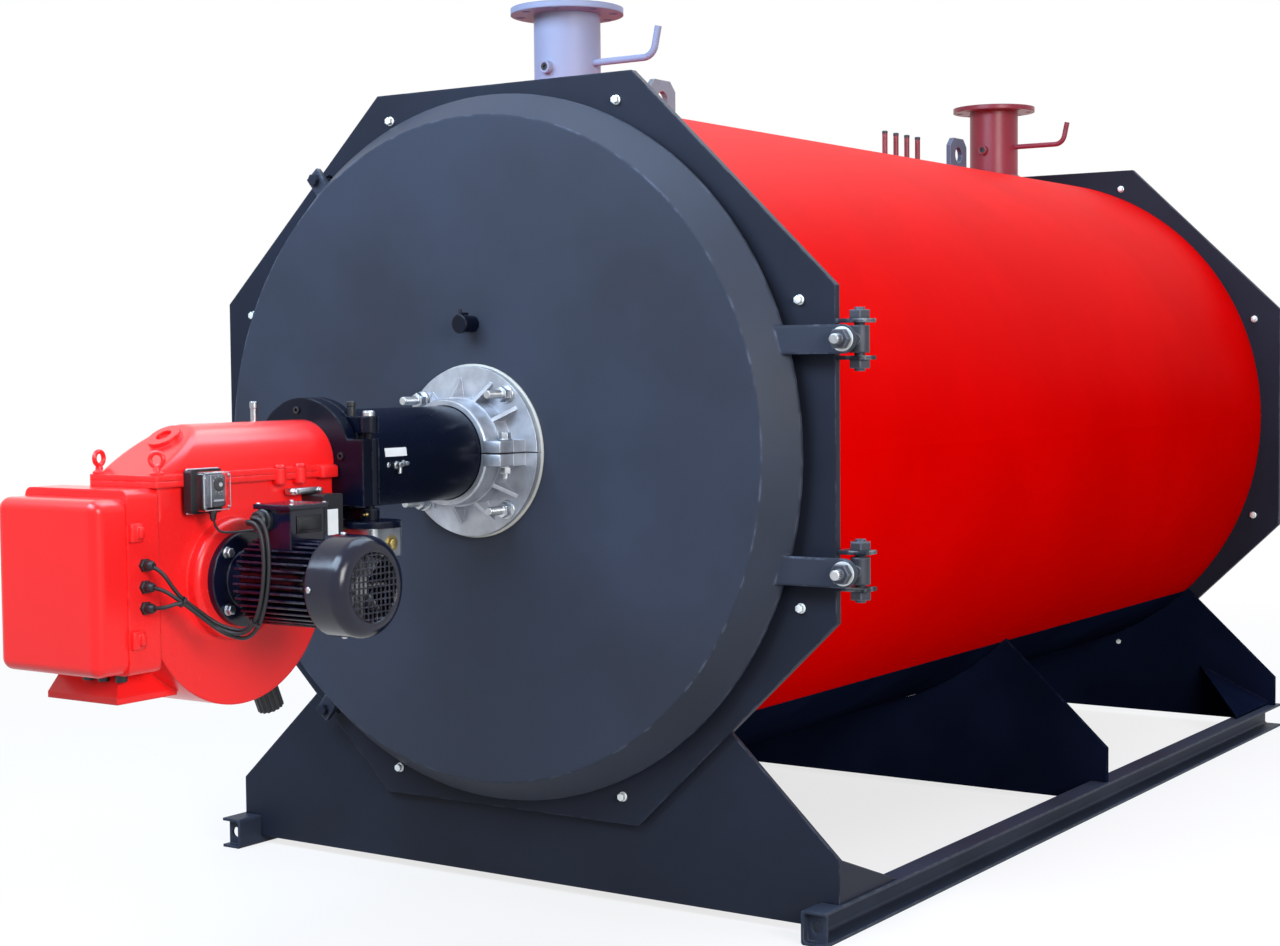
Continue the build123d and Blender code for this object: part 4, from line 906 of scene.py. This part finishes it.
# %% [markdown]
# ## Fan behind the grille
# Through the square holes of the cowl a pale plastic fan shows. Only its hub and blades can be
# seen, so one spun hub carries eight bevelled blades, each turned from the first.

# %% The motor's fan
BLADES, BLADE_X, BLADE_OUT = 8, 420, 46
HUB, HUB_X = [(0, 0), (22, 0), (22, 30), (18, 34), (0, 34)], 398
fan = bmesh.new()
set_in(fan, turned(HUB), spot(HUB_X, MOTOR_Y, MOTOR_Z), RIGHT)
for number in range(BLADES):
    blade = block(30, 3, 52, 1)
    bmesh.ops.translate(blade, verts=blade.verts, vec=(0, 0, BLADE_OUT * MM))
    turn = Matrix.Rotation(number * math.tau / BLADES, 3, "X")
    bmesh.ops.rotate(blade, verts=blade.verts, matrix=turn)
    set_in(fan, blade, spot(BLADE_X, MOTOR_Y, MOTOR_Z))
fitting("motor_fan", fan, "burner", fan_plastic)

# %% [markdown]
# ## The pressure switch
# The switch is a grey works with a dial on a black base, under a clear cap with bright edges. A
# solid clear block would look like a lens, so the cap replaces the CAD block with a real shell: a
# bevelled block with its back face taken off and a wall of its own.

# %% The clear cap
CAP_LOW, CAP_HIGH = (Vector(corner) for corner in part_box("switch_cover"))
MIDDLE = (CAP_LOW + CAP_HIGH) / 2
CAP_ROUND, CAP_WALL = 0.009, 0.0014
cap = bmesh.new()
bmesh.ops.create_cube(cap, size=1.0)
bmesh.ops.scale(cap, vec=CAP_HIGH - CAP_LOW, verts=cap.verts)
bmesh.ops.translate(cap, vec=MIDDLE, verts=cap.verts)
open_side = min(cap.faces, key=lambda face: face.calc_center_median().x)
bmesh.ops.delete(cap, geom=[open_side], context="FACES_ONLY")
soft = [edge for edge in cap.edges if not edge.is_boundary]
bmesh.ops.bevel(cap, geom=soft, offset=CAP_ROUND, affect="EDGES", segments=4, profile=0.5, material=-1)
bmesh.ops.recalc_face_normals(cap, faces=cap.faces)
bmesh.ops.solidify(cap, geom=cap.faces[:], thickness=CAP_WALL)
shell = fitting("switch_cap", cap, "burner", clear_cap)
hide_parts("switch_cover")

# %% The works under the cap
BLACK, GREY, PLATED, PALE = range(4)
WIDE, TALL, DEEP = ((CAP_HIGH - CAP_LOW) / MM).yzx
DIAL_Y, DIAL_Z, DIAL_X = WIDE * 0.16, TALL * 0.16, DEEP * 0.575
DIAL = [(0, 0), (13, 0), (13, 4), (11, 5), (0, 5)]
DIAL_HUB = [(0, 5), (4, 5), (4, 7), (0, 7)]
TICKS, TICK_REACH, TICK_STEP, TICK_START = 10, 16, 30, -60


def inside(x, y, z):
    # A place in the cap: x from its open back, y and z from its middle.
    return Vector((CAP_LOW.x + x * MM, MIDDLE.y + y * MM, MIDDLE.z + z * MM))


works = bmesh.new()
set_in(works, block(DEEP * 0.55, WIDE * 0.70, TALL * 0.82, 6, 3), inside(DEEP * 0.30, WIDE * 0.09, 0),
       finish=GREY)
set_in(works, block(1.6, 1.6, TALL * 0.80, 0.6), inside(DEEP * 0.60, -WIDE * 0.12, 0), finish=PALE)
set_in(works, turned(DIAL, 28), inside(DIAL_X, DIAL_Y, DIAL_Z), RIGHT, finish=BLACK)
set_in(works, turned(DIAL_HUB, 18), inside(DIAL_X, DIAL_Y, DIAL_Z), RIGHT, finish=PALE)
for number in range(TICKS):
    turn = math.radians(number * TICK_STEP + TICK_START)
    tick_y, tick_z = DIAL_Y + TICK_REACH * math.sin(turn), DIAL_Z + TICK_REACH * math.cos(turn)
    set_in(works, block(1.2, 2, 2, 0.4), inside(DEEP * 0.585, tick_y, tick_z), finish=PALE)
set_in(works, block(1.2, WIDE * 0.36, 4, 0.4), inside(DEEP * 0.58, DIAL_Y, -TALL * 0.24), finish=PALE)
print("dial and scale set under the cap")

# %% Bright edges, screws and base plate of the switch
# Edges and screws lie at these shares of the cap's width and height, from its middle.
EDGE, SCREW = 0.46, 0.44
CAP_SCREW = [(0, 0), (3.2, 0), (3, 2), (0, 2.5)]
BASE_LOW, BASE_HIGH = (Vector(corner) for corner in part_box("pressure_switch"))
base_size = (BASE_HIGH - BASE_LOW) / MM
for y in (-EDGE, EDGE):
    set_in(works, block(2, 2, TALL * 0.84, 0.8), inside(DEEP - 3, WIDE * y, 0), finish=PALE)
    for z in (-SCREW, SCREW):
        screw_spot = inside(DEEP - 4, WIDE * y * 0.9, TALL * z * 0.9)
        set_in(works, turned(CAP_SCREW, 12), screw_spot, RIGHT, finish=PLATED)
for z in (-EDGE, EDGE):
    set_in(works, block(2, WIDE * 0.86, 2, 0.8), inside(DEEP - 3, 0, TALL * z), finish=PALE)
base_middle = Vector((BASE_LOW.x + 4 * MM, MIDDLE.y, (BASE_LOW.z + BASE_HIGH.z) / 2))
set_in(works, block(5, base_size.y + 3, base_size.z + 3, 2), base_middle, finish=PALE)
fitting("switch_works", works, "burner", black_plastic, grey_plastic, zinc, pale_plastic)

# %% [markdown]
# ## Blank labels
# A plain white label sits on the blast tube and another on the damper drive. The tube's label
# follows its curve, so it is an edge spun through a small angle and given a thickness.

# %% Labels
LABEL_SHEET = 0.0006


def curved_label(radius, low, high, start, sweep):
    label = bmesh.new()
    ends = [label.verts.new((radius * MM, y * MM, 0.0)) for y in (low, high)]
    bmesh.ops.spin(label, geom=ends + [label.edges.new(ends)], cent=(0, 0, 0), axis=(0, -1, 0),
                   angle=math.radians(sweep), steps=8)
    lift = Matrix.Rotation(-math.radians(start), 3, "Y")
    bmesh.ops.rotate(label, verts=label.verts, cent=(0, 0, 0), matrix=lift)
    bmesh.ops.recalc_face_normals(label, faces=label.faces)
    bmesh.ops.solidify(label, geom=label.faces[:], thickness=-LABEL_SHEET)
    bmesh.ops.translate(label, verts=label.verts, vec=spot(0, 0, 0))
    return label


tube_label = curved_label(radius=110.3, low=-562, high=-490, start=3, sweep=10)
fitting("tube_label", tube_label, "door", label_white)
DRIVE_FACE = spot(146.6, -773, -121)
drive_label = bmesh.new()
set_in(drive_label, block(1.2, 32, 54, 0.4, 1), DRIVE_FACE)
fitting("drive_label", drive_label, "burner", label_white)

# %% [markdown]
# ## Nipples and plugs on the blast tube
# Test nipples stand on the tube beside its label, a brass plug closes the gas valve's side, and a
# black pin stands beside the hinge post. Each is one or two shapes, pointed the way it is screwed in.

# %% Nipples and plugs
TUBE_X = 108
VALVE_SIDE = spot(204, -655, -172)
SCREW_HEAD = [(0, 0), (6, 0), (6, 3), (4, 5), (0, 5)]
ELBOW_FOOT = [(0, 0), (9, 0), (9, 6), (6, 7), (6, 18), (0, 18)]
ELBOW_END = [(0, 0), (5, 0), (5, 14), (3, 16), (0, 16)]
BRANCH_FOOT = [(0, 0), (7, 0), (7, 5), (4.5, 6), (4.5, 16), (0, 16)]
BRANCH_END = [(0, 0), (4.5, 0), (4.5, 14), (0, 14)]
BRASS_TIP = [(0, 0), (5, 0), (5, 4), (3, 6), (3, 11), (0, 12)]
BRASS_SLOT, BLACK_SLOT = 1, 2
BLACK_PIN = [(0, 0), (9, 0), (9, 26), (10, 27), (10, 36), (8, 38), (0, 38)]
small = bmesh.new()
set_in(small, turned(SCREW_HEAD, 16), spot(TUBE_X, -552, -12), RIGHT)
set_in(small, turned(ELBOW_FOOT, 18), spot(TUBE_X, -527, -13), RIGHT)
set_in(small, turned(ELBOW_END, 14), spot(121, -527, -16), DOWN)
set_in(small, turned(BRANCH_FOOT, 16), spot(TUBE_X, -503, -10), RIGHT)
set_in(small, turned(BRANCH_END, 14), spot(120, -518, -10), BACK)
set_in(small, hexagon(20, 9), VALVE_SIDE, RIGHT, finish=BRASS_SLOT)
set_in(small, ring(13, 17, 3), VALVE_SIDE, RIGHT, finish=BRASS_SLOT)
set_in(small, turned(BRASS_TIP, 14), spot(162, -683, -111), FRONT, finish=BRASS_SLOT)
set_in(small, turned(BLACK_PIN, 18), spot(97, -655, 92), finish=BLACK_SLOT)
fitting("tube_fittings", small, "door", zinc, brass, black_plastic)

# %% [markdown]
# ## Welds and sensor caps on the drum
# Pipes and lifting lugs are welded to the shell. A weld is a bead of ripples, so a thin torus or
# a rounded bar takes the joint, and its paint's bump does the rest. Dark caps close the sensor
# stubs, and black plugs the small sockets on the pipes.

# %% Weld beads
PIPE_FLANGE_R = 142.5
NOZZLE_BACKS = [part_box(node)[1][1] for node in ("supply_nozzle", "return_nozzle")]
NOZZLES = [(back - FACE_Y) / MM - PIPE_FLANGE_R for back in NOZZLE_BACKS]
PIPE_WELD_Z, LUG_WELD_Z, LUG_WELD_X = 855, 857, 11
# Each lug's place along the drum, and the paint of its weld.
LUG_WELDS = ((708, 0), (2555, 2))
beads = bmesh.new()
for finish, y in enumerate(NOZZLES):
    set_in(beads, torus(86, 6), spot(0, y, PIPE_WELD_Z), finish=finish)
for y, finish in LUG_WELDS:
    for side in (-1, 1):
        weld_spot = spot(side * LUG_WELD_X, y, LUG_WELD_Z)
        set_in(beads, block(9, 124, 10, 4, 3), weld_spot, finish=finish)
fitting("weld_beads", beads, "boiler", pale_primer, red_primer, navy)

# %% Caps and plugs
STUB_FIRST_Y, STUB_PITCH, STUB_COUNT, STUB_TOP = 2022, 78, 4, 939
STUB_CAP = [(0, 0), (8.9, 0), (9.2, 1), (9.2, 7), (8, 9), (0, 9)]
SOCKET_REACH, SOCKET_Z, PLUG_SLOT = 92, 946, 1
SOCKET_PLUG = [(0, 0), (9.6, 0), (9.6, 6), (5, 6), (4, 2), (0, 2)]
caps = bmesh.new()
for number in range(STUB_COUNT):
    stub_y = STUB_FIRST_Y + number * STUB_PITCH
    set_in(caps, turned(STUB_CAP, 18), spot(0, stub_y, STUB_TOP))
for y in NOZZLES:
    set_in(caps, turned(SOCKET_PLUG, 18), spot(0, y - SOCKET_REACH, SOCKET_Z), FRONT, finish=PLUG_SLOT)
fitting("sensor_caps", caps, "boiler", dark_steel, black_plastic)

# %% [markdown]
# ## The floor
# A pale floor, large enough to run out of the picture, is stage and not part of the boiler.
# To the camera it is white where the shadow leaves it, as in a cut-out photograph. For the light
# that it throws up on the paint it is a plain grey, as a real floor would be.

# %% A pale floor
FLOOR_HALF = 40.0
FLOOR_DARK, FLOOR_LIGHT = (0.30, 0.29, 0.27, 1.0), (0.34, 0.33, 0.31, 1.0)
FLOOR_SEEN = (0.94, 0.94, 0.94, 1.0)
ground = bmesh.new()
bmesh.ops.create_grid(ground, x_segments=8, y_segments=8, size=FLOOR_HALF)
floor_mesh = bpy.data.meshes.new("floor")
ground.to_mesh(floor_mesh)
ground.free()
pale = Finish("pale_floor", roughness=0.8)
seen_white = pale.ray("Camera").at_least(pale.ray("Glossy"))
dust_grey = pale.mix(pale.noise(scale=0.8, detail=3.0), FLOOR_DARK, FLOOR_LIGHT)
pale.put(base_color=pale.mix(seen_white, dust_grey, FLOOR_SEEN))
reach = pale.node("ShaderNodeVectorMath", {"operation": "LENGTH"}, {0: pale.place}, 1)
glow = pale.node("ShaderNodeEmission", {}, {"Color": WHITE, "Strength": 1.0})
share = seen_white * (0.70 + reach * 0.05).at_most(1.0)
pale.show(pale.node("ShaderNodeMixShader", {}, {0: share, 1: pale.shader, 2: glow}))
floor_mesh.materials.append(pale.material)
floor = bpy.data.objects.new("floor", floor_mesh)
scene.collection.objects.link(floor)
print("floor laid")
